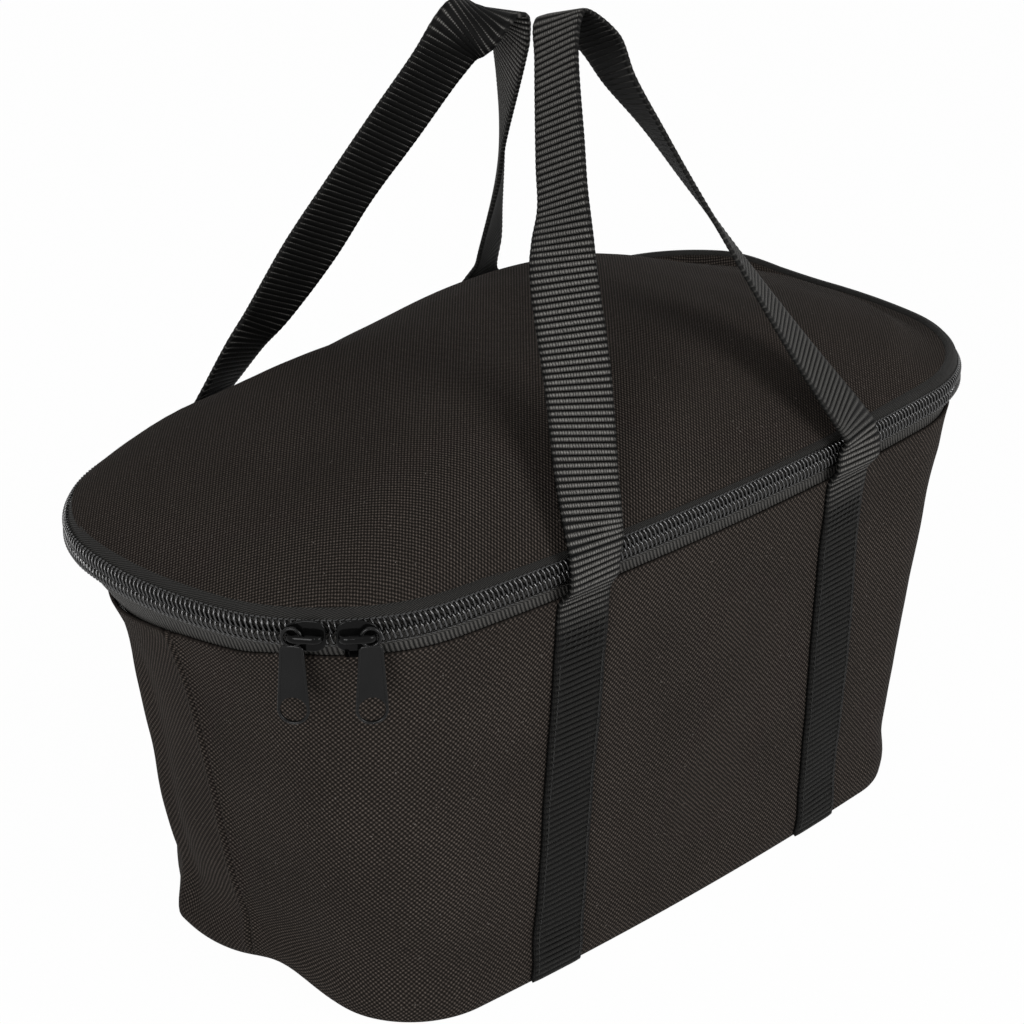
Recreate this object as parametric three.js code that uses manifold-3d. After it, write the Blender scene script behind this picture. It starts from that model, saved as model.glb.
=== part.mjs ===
// Soft-sided cooler bag: a basket-shaped insulated body, a domed zip-open lid hinged along the back,
// and two webbing handles. Millimetres, +Z up, origin on the ground under the middle of the bag,
// +X along its length, -Y towards the front.
import * as THREE from 'three';
import { mergeVertices } from 'three/addons/utils/BufferGeometryUtils.js';
import Module from 'manifold-3d';

// Outline of the zip line, an oval of tangent arcs
const ZIP_LINE = {
  z: 200, halfLength: 222.5, halfDepth: 112.5, sideRadius: 1500, endRadius: 240, cornerRadius: 76,
};

// Lower outlines: the height of each, and how far its ends and its sides draw in from the zip line
const WALL_TOP = drawnIn({
  z: 188, ends: 7.5, sides: 2.3, sideRadius: 1500, endRadius: 260, cornerRadius: 72,
});
const SHOULDER = drawnIn({
  z: 165, ends: 17.5, sides: 6.5, sideRadius: 1600, endRadius: 300, cornerRadius: 66,
});
const BASE = drawnIn({
  z: 0, ends: 50.5, sides: 16.5, sideRadius: 2000, endRadius: 500, cornerRadius: 44,
});
const ZIP_BAND = 6.5;
const WALL_MIDDLE = 85;
const EDGE_RADIUS = 5;

// How far the soft back left corner is pushed in, by height
const BACK_TUCK = [[BASE.z, 3], [WALL_MIDDLE, 7.5], [SHOULDER.z, 5], [WALL_TOP.z, 0]];
const SEAM_GAP = 0.0008;

// Layers of the wall and of the base
const FABRIC = 1.4;
const WALL_FOAM = 5;
const LINER = 0.6;
const BOARD = 2;
const BASE_FOAM = 5;
const SEAT = 0.3;

// Zip
const COIL_DEPTH = 2.2;
const COIL_ROW = 3.4;
const COIL_SPLIT = 1.1;
const COIL_SHOULDER = 0.85;
const COIL_ROUND = 0.9;
const TAPE = 0.9;
const TAPE_TUCK = 6;
const TUCK_CLEARANCE = 0.5;
const TAPE_EDGE_GAP = 0.6;
const TAPE_RISE = 10;
const TAPE_BORDER = 16;
const TAPE_TURN = 4;
const HINGE_BEYOND_STRAP = 41;
const HINGE_GAP = 1.6;
const ZIP_END_LENGTH = 18;
const ZIP_END_LAP = 5;
const BINDING = 5;
const BINDING_ZIP_ROOM = 7;

// Lid dome
const LID_EDGE_INSET = 13;
const LID_CROWN = 46;
const LID_FULLNESS = 3.2;
const LID_FOAM = 5;
const LID_FOAM_REACH = 0.965;
const LID_RINGS = [0.25, 0.5, 0.7, 0.86];

// How the lid sags: a fall towards its right end, and a hollow at its back right
const LID_FALL = 6;
const LID_FALL_LENGTH = 150;
const LID_FALL_START = -10;
const LID_HOLLOW = 11;
const LID_HOLLOW_PLACE = [178, 58];
const LID_HOLLOW_SPREAD = 46;
const LID_SAG_EDGE = 0.25;

// Webbing
const WEBBING_WIDTH = 28;
const WEBBING = 1.8;
const STRAP_TOP_SHARE = 0.3775;
const STRAP_SPREAD = 2.5;
const STITCH_TOP = 184.5;
const STRAP_BOTTOM = 3;
const ZIP_CLEARANCE = 0.7;
const RISER_BEND = 1;
const HANDLE_START = 208;
const FRONT_HANDLE = { rise: 182, lean: 97, topTwist: -Math.PI / 2 };
const BACK_HANDLE = { rise: 177, lean: 83, topTwist: Math.PI / 2 };
const HANDLE_TOP_RADIUS = 9;
const HANDLE_UPRIGHT = 30;
const HANDLE_TOP_EASE = 15;
const TWIST_FROM = 0.3;
const TWIST_TO = 0.9;

// Sliders and pulls, placed by their angle round the front left corner of the zip line
const LEFT_SLIDER_ANGLE = -142.5;
const RIGHT_SLIDER_ANGLE = -127.8;
const SLIDER_LENGTH = 16;
const SLIDER_NOSE = 8;
const SLIDER_HEIGHT = 12;
const SLIDER_PLATE = 1.6;
const SLIDER_BACK_PLATE = 1.2;
const SLIDER_WEB = 0.5;
const WEDGE_HALF_LENGTH = 4.8;
const SHIELD_NARROW = 0.72;
const SHIELD_WIDEST_FROM = 0.1;
const SHIELD_WIDEST_TO = 0.7;
const SHIELD_CORNER = 0.5;
const SLIDER_CLEARANCE = 0.45;
const BAIL_HALF_SPAN = 5;
const BAIL_WIRE = 1.8;
const BAIL_REACH = 4.6;
const PULL_LENGTH = 42;
const PULL_TOP_WIDTH = 9;
const PULL_END_WIDTH = 13;
const PULL_THICKNESS = 1.8;
const PULL_HOLE = 10;
const PULL_EYE = 4.6;

// Facets: arc shares of a quarter outline and the steps in each
const END_SHARE = 0.16;
const CORNER_SHARE = 0.72;
const END_STEPS = 2;
const CORNER_STEPS = 8;
const SIDE_STEPS = 4;
const HANDLE_LEG_STEPS = 12;
const HANDLE_TOP_STEPS = 6;
const HANDLE_EASE_STEPS = 2;
const WIRE_FACETS = 8;
const SHIELD_CURVE_STEPS = 6;
const PULL_CURVE_STEPS = 10;

// Working values: the closest two stations may lie, the halvings of a search, and how far joined solids lap
const STATION_TOLERANCE = 1e-3;
const HALVINGS = 40;
const MERGE_TOLERANCE = 1e-4;
const JOIN_LAP = 0.2;

const wasm = await Module();
wasm.setup();

const COLOURS = {
  fabric: { color: '#2b2724', roughness: 0.9, metalness: 0 },
  lining: { color: '#b9bcbf', roughness: 0.4, metalness: 0.3 },
  foam: { color: '#e9e9e4', roughness: 0.95, metalness: 0 },
  board: { color: '#3a3a3a', roughness: 0.7, metalness: 0 },
  webbing: { color: '#222222', roughness: 0.85, metalness: 0 },
  tape: { color: '#262626', roughness: 0.85, metalness: 0 },
  coil: { color: '#101010', roughness: 0.35, metalness: 0 },
  metal: { color: '#121212', roughness: 0.3, metalness: 0.6 },
};

const part = new THREE.Group();

function drawnIn({ ends, sides, ...level }) {
  return { ...level, halfLength: ZIP_LINE.halfLength - ends, halfDepth: ZIP_LINE.halfDepth - sides };
}

function addPiece(name, finish, geometry) {
  const piece = new THREE.Mesh(geometry, new THREE.MeshStandardMaterial(COLOURS[finish]));
  piece.name = name;
  part.add(piece);
  return piece;
}

// Outlines
// A quarter outline runs from the middle of the left end, round the front left corner, to the front's middle.
function quarterOutline(oval) {
  const side = new THREE.Vector2(0, oval.sideRadius - oval.halfDepth);
  const end = new THREE.Vector2(oval.endRadius - oval.halfLength, 0);
  const fromSide = oval.sideRadius - oval.cornerRadius;
  const fromEnd = oval.endRadius - oval.cornerRadius;
  const between = end.clone().sub(side);
  const distance = between.length();
  const along = (fromSide ** 2 - fromEnd ** 2 + distance ** 2) / (2 * distance);
  const across = Math.sqrt(fromSide ** 2 - along ** 2);
  between.normalize();
  const corner = side.clone().addScaledVector(between, along);
  corner.add(new THREE.Vector2(between.y, -between.x).multiplyScalar(across));
  const sideAngle = Math.atan2(corner.y - side.y, corner.x - side.x);
  const endAngle = Math.atan2(corner.y - end.y, corner.x - end.x);
  return { oval, side, end, corner, sideAngle, endAngle };
}

function quarterPoint(quarter, share) {
  const { oval, side, end, corner, sideAngle, endAngle } = quarter;
  const lerp = THREE.MathUtils.lerp;
  if (share <= END_SHARE) {
    return arcPoint(end, oval.endRadius, lerp(-Math.PI, endAngle, share / END_SHARE));
  }
  if (share <= CORNER_SHARE) {
    const turn = (share - END_SHARE) / (CORNER_SHARE - END_SHARE);
    return arcPoint(corner, oval.cornerRadius, lerp(endAngle, sideAngle, turn));
  }
  const turn = (share - CORNER_SHARE) / (1 - CORNER_SHARE);
  return arcPoint(side, oval.sideRadius, lerp(sideAngle, -Math.PI / 2, turn));
}

function arcPoint(centre, radius, angle) {
  const normal = new THREE.Vector2(Math.cos(angle), Math.sin(angle));
  return { place: centre.clone().addScaledVector(normal, radius), normal };
}

// A station counts quarters: 0 left end, 1 front middle, 2 right end, 3 back middle.
function outlinePoint(quarter, station) {
  const turn = ((station % 4) + 4) % 4;
  const index = Math.floor(turn);
  const share = turn - index;
  const point = quarterPoint(quarter, index % 2 === 0 ? share : 1 - share);
  const flip = new THREE.Vector2(index === 1 || index === 2 ? -1 : 1, index >= 2 ? -1 : 1);
  point.place.multiply(flip);
  point.normal.multiply(flip);
  return point;
}

const bandBottom = ZIP_LINE.z - ZIP_BAND;
const LEVELS = [BASE, SHOULDER, WALL_TOP, { ...ZIP_LINE, z: bandBottom }].map(quarterOutline);
const ZIP_QUARTER = LEVELS[3];

// How far the wall is pushed in at a station and a height
function backTuck(station, z) {
  const next = BACK_TUCK.findIndex(([height]) => height >= z);
  if (next < 0) {
    return 0;
  }
  const [high, highTuck] = BACK_TUCK[next];
  const [low, lowTuck] = BACK_TUCK[Math.max(next - 1, 0)];
  const turn = ((station % 4) + 4) % 4;
  const share = THREE.MathUtils.clamp((turn - 4 + CORNER_SHARE) / CORNER_SHARE, 0, 1);
  const depth = high > low ? THREE.MathUtils.lerp(lowTuck, highTuck, (z - low) / (high - low)) : highTuck;
  return depth * Math.sin(Math.PI * share) ** 2;
}

// A point at an inset from the body's outer face, at a height; the zip band and all above share one outline.
function wallPoint(station, inset, z) {
  let upper = 1;
  while (upper < LEVELS.length - 1 && z > LEVELS[upper].oval.z) {
    upper += 1;
  }
  const low = LEVELS[upper - 1].oval.z;
  const share = THREE.MathUtils.clamp((z - low) / (LEVELS[upper].oval.z - low), 0, 1);
  const below = outlinePoint(LEVELS[upper - 1], station);
  const above = outlinePoint(LEVELS[upper], station);
  const place = below.place.lerp(above.place, share);
  const normal = below.normal.lerp(above.normal, share).normalize();
  place.addScaledVector(normal, -inset - backTuck(station, z));
  return new THREE.Vector3(place.x, place.y, z);
}

const QUARTER_SHARES = [];
for (let step = 0; step < END_STEPS; step += 1) {
  QUARTER_SHARES.push((END_SHARE * step) / END_STEPS);
}
for (let step = 0; step < CORNER_STEPS; step += 1) {
  QUARTER_SHARES.push(END_SHARE + ((CORNER_SHARE - END_SHARE) * step) / CORNER_STEPS);
}
for (let step = 0; step <= SIDE_STEPS; step += 1) {
  QUARTER_SHARES.push(CORNER_SHARE + ((1 - CORNER_SHARE) * step) / SIDE_STEPS);
}

// The stations of the facets from one station to another, ends included
function stationsBetween(from, to) {
  const stations = [from];
  for (let quarter = Math.floor(from); quarter <= Math.floor(to); quarter += 1) {
    const even = ((quarter % 2) + 2) % 2 === 0;
    const shares = even ? QUARTER_SHARES : QUARTER_SHARES.map((share) => 1 - share).reverse();
    for (const share of shares.slice(0, -1)) {
      const station = quarter + share;
      if (station > from + STATION_TOLERANCE && station < to - STATION_TOLERANCE) {
        stations.push(station);
      }
    }
  }
  stations.push(to);
  return stations;
}

const RING = stationsBetween(0, 4).slice(0, -1);

// The station on the back where the zip line has the given x
function backStation(x) {
  let low = 2;
  let high = 4;
  for (let halving = 0; halving < HALVINGS; halving += 1) {
    const middle = (low + high) / 2;
    if (outlinePoint(ZIP_QUARTER, middle).place.x > x) {
      low = middle;
    } else {
      high = middle;
    }
  }
  return low;
}

// Solids
function solidFrom(points, triangles) {
  const geometry = new THREE.BufferGeometry();
  geometry.setAttribute('position', new THREE.Float32BufferAttribute(points.flatMap((p) => p.toArray()), 3));
  let volume = 0;
  const cross = new THREE.Vector3();
  for (const [a, b, c] of triangles) {
    volume += points[a].dot(cross.crossVectors(points[b], points[c]));
  }
  const outward = volume > 0 ? triangles : triangles.map(([a, b, c]) => [a, c, b]);
  geometry.setIndex(outward.flat());
  return geometry;
}

// A loft through equal sections; a closed one joins its last section to its first, an open one gets end caps.
// The second half of a section runs back along the first, and splits its faces the same way, so a thin
// layer keeps its thickness where it twists.
function loft(sections, closed, capShape) {
  const count = sections[0].length;
  const triangles = [];
  const last = closed ? sections.length : sections.length - 1;
  for (let row = 0; row < last; row += 1) {
    const here = row * count;
    const next = ((row + 1) % sections.length) * count;
    for (let k = 0; k < count; k += 1) {
      const turn = (k + 1) % count;
      if (k < count / 2) {
        triangles.push([here + k, next + k, next + turn], [here + k, next + turn, here + turn]);
      } else {
        triangles.push([here + k, next + k, here + turn], [here + turn, next + k, next + turn]);
      }
    }
  }
  if (!closed) {
    const end = (sections.length - 1) * count;
    for (const [a, b, c] of THREE.ShapeUtils.triangulateShape(capShape, [])) {
      triangles.push([a, b, c], [end + a, end + c, end + b]);
    }
    matchCaps(triangles, sections.length, count);
  }
  return solidFrom(sections.flat(), triangles);
}

// Turns the caps so that each shares its rim edges with the walls in the opposite direction
function matchCaps(triangles, sectionCount, count) {
  const walls = (sectionCount - 1) * count * 2;
  const edges = new Set();
  for (const [a, b, c] of triangles.slice(0, walls)) {
    edges.add(`${a},${b}`).add(`${b},${c}`).add(`${c},${a}`);
  }
  const clash = triangles.slice(walls).some(([a, b, c]) => (
    edges.has(`${a},${b}`) || edges.has(`${b},${c}`) || edges.has(`${c},${a}`)
  ));
  if (clash) {
    for (const cap of triangles.slice(walls)) {
      cap.reverse();
    }
  }
}

// A section of [inset, z] corners carried along the wall's outline
function wallSweep(section, stations, closed = false) {
  const sections = stations.map((station) => section.map(([inset, z]) => wallPoint(station, inset, z)));
  return loft(sections, closed, section.map(([inset, z]) => new THREE.Vector2(inset, z)));
}

// A flat plate with the wall's outline at its own height
function plate(inset, bottom, top) {
  const sections = [bottom, top].map((z) => RING.map((station) => {
    const edge = wallPoint(station, inset, bottom);
    return new THREE.Vector3(edge.x, edge.y, z);
  }));
  const flat = sections[0].map((p) => new THREE.Vector2(p.x, p.y));
  return loft(sections, false, flat);
}

// Body
const linerInset = FABRIC + SEAT + WALL_FOAM + SEAT;
const tapeBottom = WALL_TOP.z - TAPE_TUCK;
const foamTop = tapeBottom - SEAT;
const boardBottom = FABRIC + SEAT;
const baseFoamBottom = boardBottom + BOARD + SEAT;
const baseFoamTop = baseFoamBottom + BASE_FOAM;

// Halfway round the curled bottom edge, outside and inside
const outerTurn = EDGE_RADIUS * (1 - Math.SQRT1_2);
const innerTurn = EDGE_RADIUS - (EDGE_RADIUS - FABRIC) * Math.SQRT1_2;

function panelSection() {
  return [
    [EDGE_RADIUS, 0], [outerTurn, outerTurn],
    [0, EDGE_RADIUS], [0, WALL_MIDDLE], [0, SHOULDER.z], [0, WALL_TOP.z],
    [FABRIC, WALL_TOP.z], [FABRIC, SHOULDER.z], [FABRIC, WALL_MIDDLE], [FABRIC, EDGE_RADIUS],
    [innerTurn, innerTurn], [EDGE_RADIUS, FABRIC],
  ];
}

function wallLayer(inset, thickness, bottom, top) {
  const heights = [bottom, WALL_MIDDLE, SHOULDER.z, top];
  const outer = heights.map((z) => [inset, z]);
  const inner = heights.map((z) => [inset + thickness, z]).reverse();
  return [...outer, ...inner];
}

const frontRun = stationsBetween(SEAM_GAP, 2 - SEAM_GAP);
const backRun = stationsBetween(2 + SEAM_GAP, 4 - SEAM_GAP);
addPiece('front_panel', 'fabric', wallSweep(panelSection(), frontRun));
addPiece('back_panel', 'fabric', wallSweep(panelSection(), backRun));
addPiece('bottom_panel', 'fabric', plate(EDGE_RADIUS + SEAT, 0, FABRIC));
addPiece('base_board', 'board', plate(EDGE_RADIUS + SEAT, boardBottom, boardBottom + BOARD));
addPiece('base_foam', 'foam', plate(innerTurn + 2 * SEAT, baseFoamBottom, baseFoamTop));
const linerBottom = baseFoamTop + SEAT;
addPiece('base_liner', 'lining', plate(linerInset + LINER + SEAT, linerBottom, linerBottom + LINER));
const wallFoam = wallLayer(FABRIC + SEAT, WALL_FOAM, linerBottom, foamTop);
addPiece('wall_foam', 'foam', wallSweep(wallFoam, RING, true));
const wallLiner = wallLayer(linerInset, LINER, linerBottom, foamTop);
addPiece('wall_liner', 'lining', wallSweep(wallLiner, RING, true));

// Zip, hinge strip and bindings
const strapTopX = ZIP_LINE.halfLength * STRAP_TOP_SHARE;
const hingeHalfLength = strapTopX + HINGE_BEYOND_STRAP;
const zipLeft = backStation(-hingeHalfLength) - 4;
const zipRight = backStation(hingeHalfLength);
const zipStations = stationsBetween(zipLeft, zipRight);
const hingeSeam = HINGE_GAP / (ZIP_LINE.halfLength * 2);
const hingeStations = stationsBetween(zipRight + hingeSeam, zipLeft + 4 - hingeSeam);
const tapeFace = COIL_DEPTH + SEAT;
const coilBottom = ZIP_LINE.z - COIL_SPLIT / 2 - COIL_ROW;
const tuckFace = FABRIC + TUCK_CLEARANCE;

const lowerTape = [
  [tuckFace, tapeBottom], [tuckFace, WALL_TOP.z],
  [tapeFace, bandBottom], [tapeFace, ZIP_LINE.z - TAPE_EDGE_GAP],
  [tapeFace + TAPE, ZIP_LINE.z - TAPE_EDGE_GAP], [tapeFace + TAPE, bandBottom],
  [tuckFace + TAPE, WALL_TOP.z], [tuckFace + TAPE, tapeBottom],
];
addPiece('lower_zip_tape', 'tape', wallSweep(lowerTape, zipStations));
addPiece('hinge_strip', 'fabric', wallSweep(lowerTape, hingeStations));

const borderTop = ZIP_LINE.z + TAPE_RISE;
const turnOut = TAPE_TURN * (1 - Math.SQRT1_2);
const turnIn = TAPE_TURN - (TAPE_TURN - TAPE) * Math.SQRT1_2;
const upperTape = [
  [tapeFace, ZIP_LINE.z + TAPE_EDGE_GAP], [tapeFace, borderTop - TAPE_TURN],
  [tapeFace + turnOut, borderTop - turnOut], [tapeFace + TAPE_TURN, borderTop], [TAPE_BORDER, borderTop],
  [TAPE_BORDER, borderTop - TAPE], [tapeFace + TAPE_TURN, borderTop - TAPE],
  [tapeFace + turnIn, borderTop - turnIn],
  [tapeFace + TAPE, borderTop - TAPE_TURN], [tapeFace + TAPE, ZIP_LINE.z + TAPE_EDGE_GAP],
];
addPiece('upper_zip_tape', 'tape', wallSweep(upperTape, zipStations));
addPiece('lid_hinge_strip', 'fabric', wallSweep(upperTape, hingeStations));

// One row of the coil: a half-round strip standing on the tape
function coilRow(bottom) {
  const top = bottom + COIL_ROW;
  return [
    [COIL_DEPTH, bottom], [COIL_ROUND, bottom], [0, bottom + COIL_SHOULDER],
    [0, top - COIL_SHOULDER], [COIL_ROUND, top], [COIL_DEPTH, top],
  ];
}
addPiece('lower_coil', 'coil', wallSweep(coilRow(coilBottom), zipStations));
addPiece('upper_coil', 'coil', wallSweep(coilRow(ZIP_LINE.z + COIL_SPLIT / 2), zipStations));

const bindingTop = ZIP_LINE.z - BINDING_ZIP_ROOM;
const bindingInset = tapeFace + TAPE + TUCK_CLEARANCE + SEAT;
const rimBinding = [
  [bindingInset, tapeBottom], [bindingInset, WALL_TOP.z], [bindingInset, bindingTop],
  [bindingInset + BINDING, bindingTop], [bindingInset + BINDING, WALL_TOP.z],
  [bindingInset + BINDING, tapeBottom],
];
addPiece('rim_binding', 'tape', wallSweep(rimBinding, RING, true));
const lidBindingBottom = ZIP_LINE.z + BINDING_ZIP_ROOM;
const lidBindingTop = borderTop - TAPE - SEAT;
const lidBindingInset = tapeFace + TAPE_TURN;
const lidBindingReach = LID_EDGE_INSET + (1 - LID_FOAM_REACH) * ZIP_LINE.halfLength + BINDING;
const lidBinding = [
  [lidBindingInset, lidBindingBottom], [lidBindingInset, lidBindingTop],
  [lidBindingReach, lidBindingTop], [lidBindingReach, lidBindingBottom],
];
addPiece('lid_binding', 'tape', wallSweep(lidBinding, RING, true));

// Tabs that close the zip's two ends
function zipEnd(x) {
  const from = backStation(x + ZIP_END_LENGTH / 2);
  const to = backStation(x - ZIP_END_LENGTH / 2);
  const heights = [WALL_TOP.z - ZIP_END_LAP, WALL_TOP.z, bandBottom, coilBottom - SEAT];
  const outer = heights.map((z) => [-SEAT - TAPE, z]);
  const inner = heights.map((z) => [-SEAT, z]).reverse();
  return wallSweep([...outer, ...inner], stationsBetween(from, to));
}
addPiece('left_zip_end', 'webbing', zipEnd(-hingeHalfLength));
addPiece('right_zip_end', 'webbing', zipEnd(hingeHalfLength));

// Lid: three domed layers on the same rings
const lidEdge = borderTop + SEAT + FABRIC;

// The height of the lid at a place and at its reach from the middle to the edge
function domeHeight(x, y, reach) {
  const held = THREE.MathUtils.smoothstep((LID_FOAM_REACH - reach) / LID_SAG_EDGE, 0, 1);
  const fall = LID_FALL * THREE.MathUtils.smoothstep((x - LID_FALL_START) / LID_FALL_LENGTH, 0, 1);
  const away = Math.hypot(x - LID_HOLLOW_PLACE[0], y - LID_HOLLOW_PLACE[1]);
  const hollow = LID_HOLLOW * Math.exp(-((away / LID_HOLLOW_SPREAD) ** 2));
  return lidEdge + LID_CROWN * (1 - reach ** LID_FULLNESS) - held * (fall + hollow);
}

function dome(reaches, topDrop, thickness) {
  const edge = RING.map((station) => wallPoint(station, LID_EDGE_INSET, ZIP_LINE.z));
  const points = [];
  const triangles = [];
  const count = RING.length;
  for (const drop of [topDrop, topDrop + thickness]) {
    points.push(new THREE.Vector3(0, 0, domeHeight(0, 0, 0) - drop));
    for (const reach of reaches) {
      points.push(...edge.map(({ x, y }) => (
        new THREE.Vector3(x * reach, y * reach, domeHeight(x * reach, y * reach, reach) - drop)
      )));
    }
  }
  const layer = 1 + count * reaches.length;
  for (let k = 0; k < count; k += 1) {
    const turn = (k + 1) % count;
    triangles.push([0, 1 + k, 1 + turn], [layer, layer + 1 + turn, layer + 1 + k]);
    for (let ring = 1; ring < reaches.length; ring += 1) {
      const inner = 1 + (ring - 1) * count;
      const outer = 1 + ring * count;
      triangles.push([inner + k, outer + k, outer + turn], [inner + k, outer + turn, inner + turn]);
      triangles.push([layer + inner + k, layer + outer + turn, layer + outer + k]);
      triangles.push([layer + inner + k, layer + inner + turn, layer + outer + turn]);
    }
    const rim = layer - count;
    triangles.push([rim + k, layer + rim + k, layer + rim + turn], [rim + k, layer + rim + turn, rim + turn]);
  }
  return solidFrom(points, triangles);
}

const foamReaches = [...LID_RINGS, LID_FOAM_REACH];
addPiece('lid_panel', 'fabric', dome([...foamReaches, 1], 0, FABRIC));
addPiece('lid_foam', 'foam', dome(foamReaches, FABRIC + SEAT, LID_FOAM));
addPiece('lid_liner', 'lining', dome(foamReaches, FABRIC + SEAT + LID_FOAM + SEAT, LINER));

// Webbing
// How far the wall's outer face stands from the middle plane at an x and a height, measured on its facets
const frontStations = stationsBetween(CORNER_SHARE, 2 - CORNER_SHARE);

function wallReach(x, z) {
  const points = frontStations.map((station) => wallPoint(station, 0, z));
  const next = points.findIndex((p) => p.x >= x);
  const share = (x - points[next - 1].x) / (points[next].x - points[next - 1].x);
  return -THREE.MathUtils.lerp(points[next - 1].y, points[next].y, share);
}

const STRIP_CAP = [[0, 0], [0, 1], [1, 1], [1, 0]].map(([x, y]) => new THREE.Vector2(x, y));

// A strip of webbing through stations that give its middle, its width direction and its outward direction
function strip(stations) {
  const half = WEBBING_WIDTH / 2;
  const sections = stations.map(({ middle, across, outward }) => (
    [[-half, -WEBBING / 2], [-half, WEBBING / 2], [half, WEBBING / 2], [half, -WEBBING / 2]].map(([w, t]) => (
      middle.clone().addScaledVector(across, w).addScaledVector(outward, t)
    ))
  ));
  return loft(sections, false, STRIP_CAP);
}

function strapX(z) {
  return THREE.MathUtils.lerp(strapTopX + STRAP_SPREAD, strapTopX, z / STITCH_TOP);
}

function webbingReach(z) {
  const x = strapX(z);
  const outerCorner = wallReach(x - WEBBING_WIDTH / 2, z);
  const innerCorner = wallReach(x + WEBBING_WIDTH / 2, z);
  const reach = (outerCorner + innerCorner) / 2 + SEAT + WEBBING / 2;
  return { x, reach, slope: outerCorner - innerCorner };
}

// Where the webbing lies flat on the wall at a height
function onWall(end, side, z) {
  const { x, reach: upright, slope } = webbingReach(z);
  const curl = outerTurn * Math.max((EDGE_RADIUS - z) / (EDGE_RADIUS - outerTurn), 0);
  const reach = upright - curl;
  const across = new THREE.Vector3(WEBBING_WIDTH, -side * end * slope, 0).normalize();
  const outward = new THREE.Vector3(-across.y * side, across.x * side, 0);
  return { middle: new THREE.Vector3(end * x, side * reach, z), across, outward };
}

// The sewn strap runs from the bottom edge up to the stitching under the zip.
function sewnStrap(end, side) {
  const heights = [STRAP_BOTTOM, EDGE_RADIUS, WALL_MIDDLE, SHOULDER.z, STITCH_TOP];
  return strip(heights.map((z) => onWall(end, side, z)));
}

// The free riser bends out past the zip and up to the handle.
const riserReach = ZIP_LINE.halfDepth + ZIP_CLEARANCE + WEBBING / 2;

function riser(end, side) {
  const start = onWall(end, side, STITCH_TOP + SEAT);
  const across = new THREE.Vector3(1, 0, 0);
  const outward = new THREE.Vector3(0, side, 0);
  const heights = [coilBottom - RISER_BEND, HANDLE_START - SEAT];
  const free = heights.map((z) => (
    { middle: new THREE.Vector3(end * strapTopX, side * riserReach, z), across, outward }
  ));
  return strip([start, ...free]);
}

// A handle leaves its risers flat to the wall, leans in over the lid and twists a quarter turn on the way up
// to its narrow top. Both handles twist the same way round, seen from the front.
function handle(shape, side) {
  const height = Math.hypot(shape.rise, shape.lean);
  const up = new THREE.Vector3(0, (-side * shape.lean) / height, shape.rise / height);
  const outward = new THREE.Vector3(0, (side * shape.rise) / height, shape.lean / height);
  const root = new THREE.Vector3(0, side * riserReach, HANDLE_START + WEBBING / 2);
  const radius = HANDLE_TOP_RADIUS;
  const leg = new THREE.CubicBezierCurve3(
    new THREE.Vector3(-strapTopX, 0, 0),
    new THREE.Vector3(-strapTopX, HANDLE_UPRIGHT, 0),
    new THREE.Vector3(-radius - HANDLE_TOP_EASE, height - radius - HANDLE_UPRIGHT, 0),
    new THREE.Vector3(-radius, height - radius, 0),
  );
  const flat = [];
  for (let step = 0; step <= HANDLE_LEG_STEPS; step += 1) {
    const share = step / HANDLE_LEG_STEPS;
    const tangent = leg.getTangentAt(share);
    const twist = THREE.MathUtils.smoothstep(share, TWIST_FROM, TWIST_TO) * shape.topTwist;
    flat.push({ place: leg.getPointAt(share), tangent, twist });
  }
  const lastTangent = Math.atan2(flat[HANDLE_LEG_STEPS].tangent.y, flat[HANDLE_LEG_STEPS].tangent.x);
  for (let step = 1; step < HANDLE_TOP_STEPS; step += 1) {
    const angle = Math.PI * (1 - step / HANDLE_TOP_STEPS);
    const turn = THREE.MathUtils.lerp(lastTangent, -lastTangent, step / HANDLE_TOP_STEPS);
    flat.push({
      place: new THREE.Vector3(radius * Math.cos(angle), height - radius + radius * Math.sin(angle), 0),
      tangent: new THREE.Vector3(Math.cos(turn), Math.sin(turn), 0),
      twist: shape.topTwist,
    });
  }
  for (let step = HANDLE_LEG_STEPS; step >= 0; step -= 1) {
    const { place, tangent, twist } = flat[step];
    flat.push({
      place: new THREE.Vector3(-place.x, place.y, 0),
      tangent: new THREE.Vector3(tangent.x, -tangent.y, 0),
      twist,
    });
  }
  const onPlane = (x, y, z) => (
    new THREE.Vector3(x, 0, 0).addScaledVector(up, y).addScaledVector(outward, z)
  );
  return strip(flat.map(({ place, tangent, twist }, index) => {
    const fromEnd = Math.min(index, flat.length - 1 - index);
    const eased = THREE.MathUtils.clamp(fromEnd / HANDLE_EASE_STEPS, 0, 1);
    const along = new THREE.Vector2(0, Math.sign(tangent.y) || 1).lerp(tangent, eased).normalize();
    const across = onPlane(along.y * Math.cos(twist), -along.x * Math.cos(twist), -Math.sin(twist));
    const facing = onPlane(along.y * Math.sin(twist), -along.x * Math.sin(twist), Math.cos(twist));
    const lifted = root.clone().add(onPlane(place.x, place.y, 0));
    return { middle: lifted, across, outward: facing };
  }));
}

for (const [sideName, side, shape] of [['front', -1, FRONT_HANDLE], ['back', 1, BACK_HANDLE]]) {
  for (const [endName, end] of [['left', -1], ['right', 1]]) {
    addPiece(`${sideName}_${endName}_strap`, 'webbing', sewnStrap(end, side));
    addPiece(`${sideName}_${endName}_riser`, 'webbing', riser(end, side));
  }
  addPiece(`${sideName}_handle`, 'webbing', handle(shape, side));
}

// Sliders and pulls, built with x along the zip, y out of the bag and z up
function toManifold(geometry) {
  const bare = geometry.clone();
  bare.deleteAttribute('normal');
  bare.deleteAttribute('uv');
  const merged = mergeVertices(bare, MERGE_TOLERANCE);
  return new wasm.Manifold(new wasm.Mesh({
    numProp: 3,
    vertProperties: new Float32Array(merged.attributes.position.array),
    triVerts: new Uint32Array(merged.index.array),
  }));
}

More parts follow.
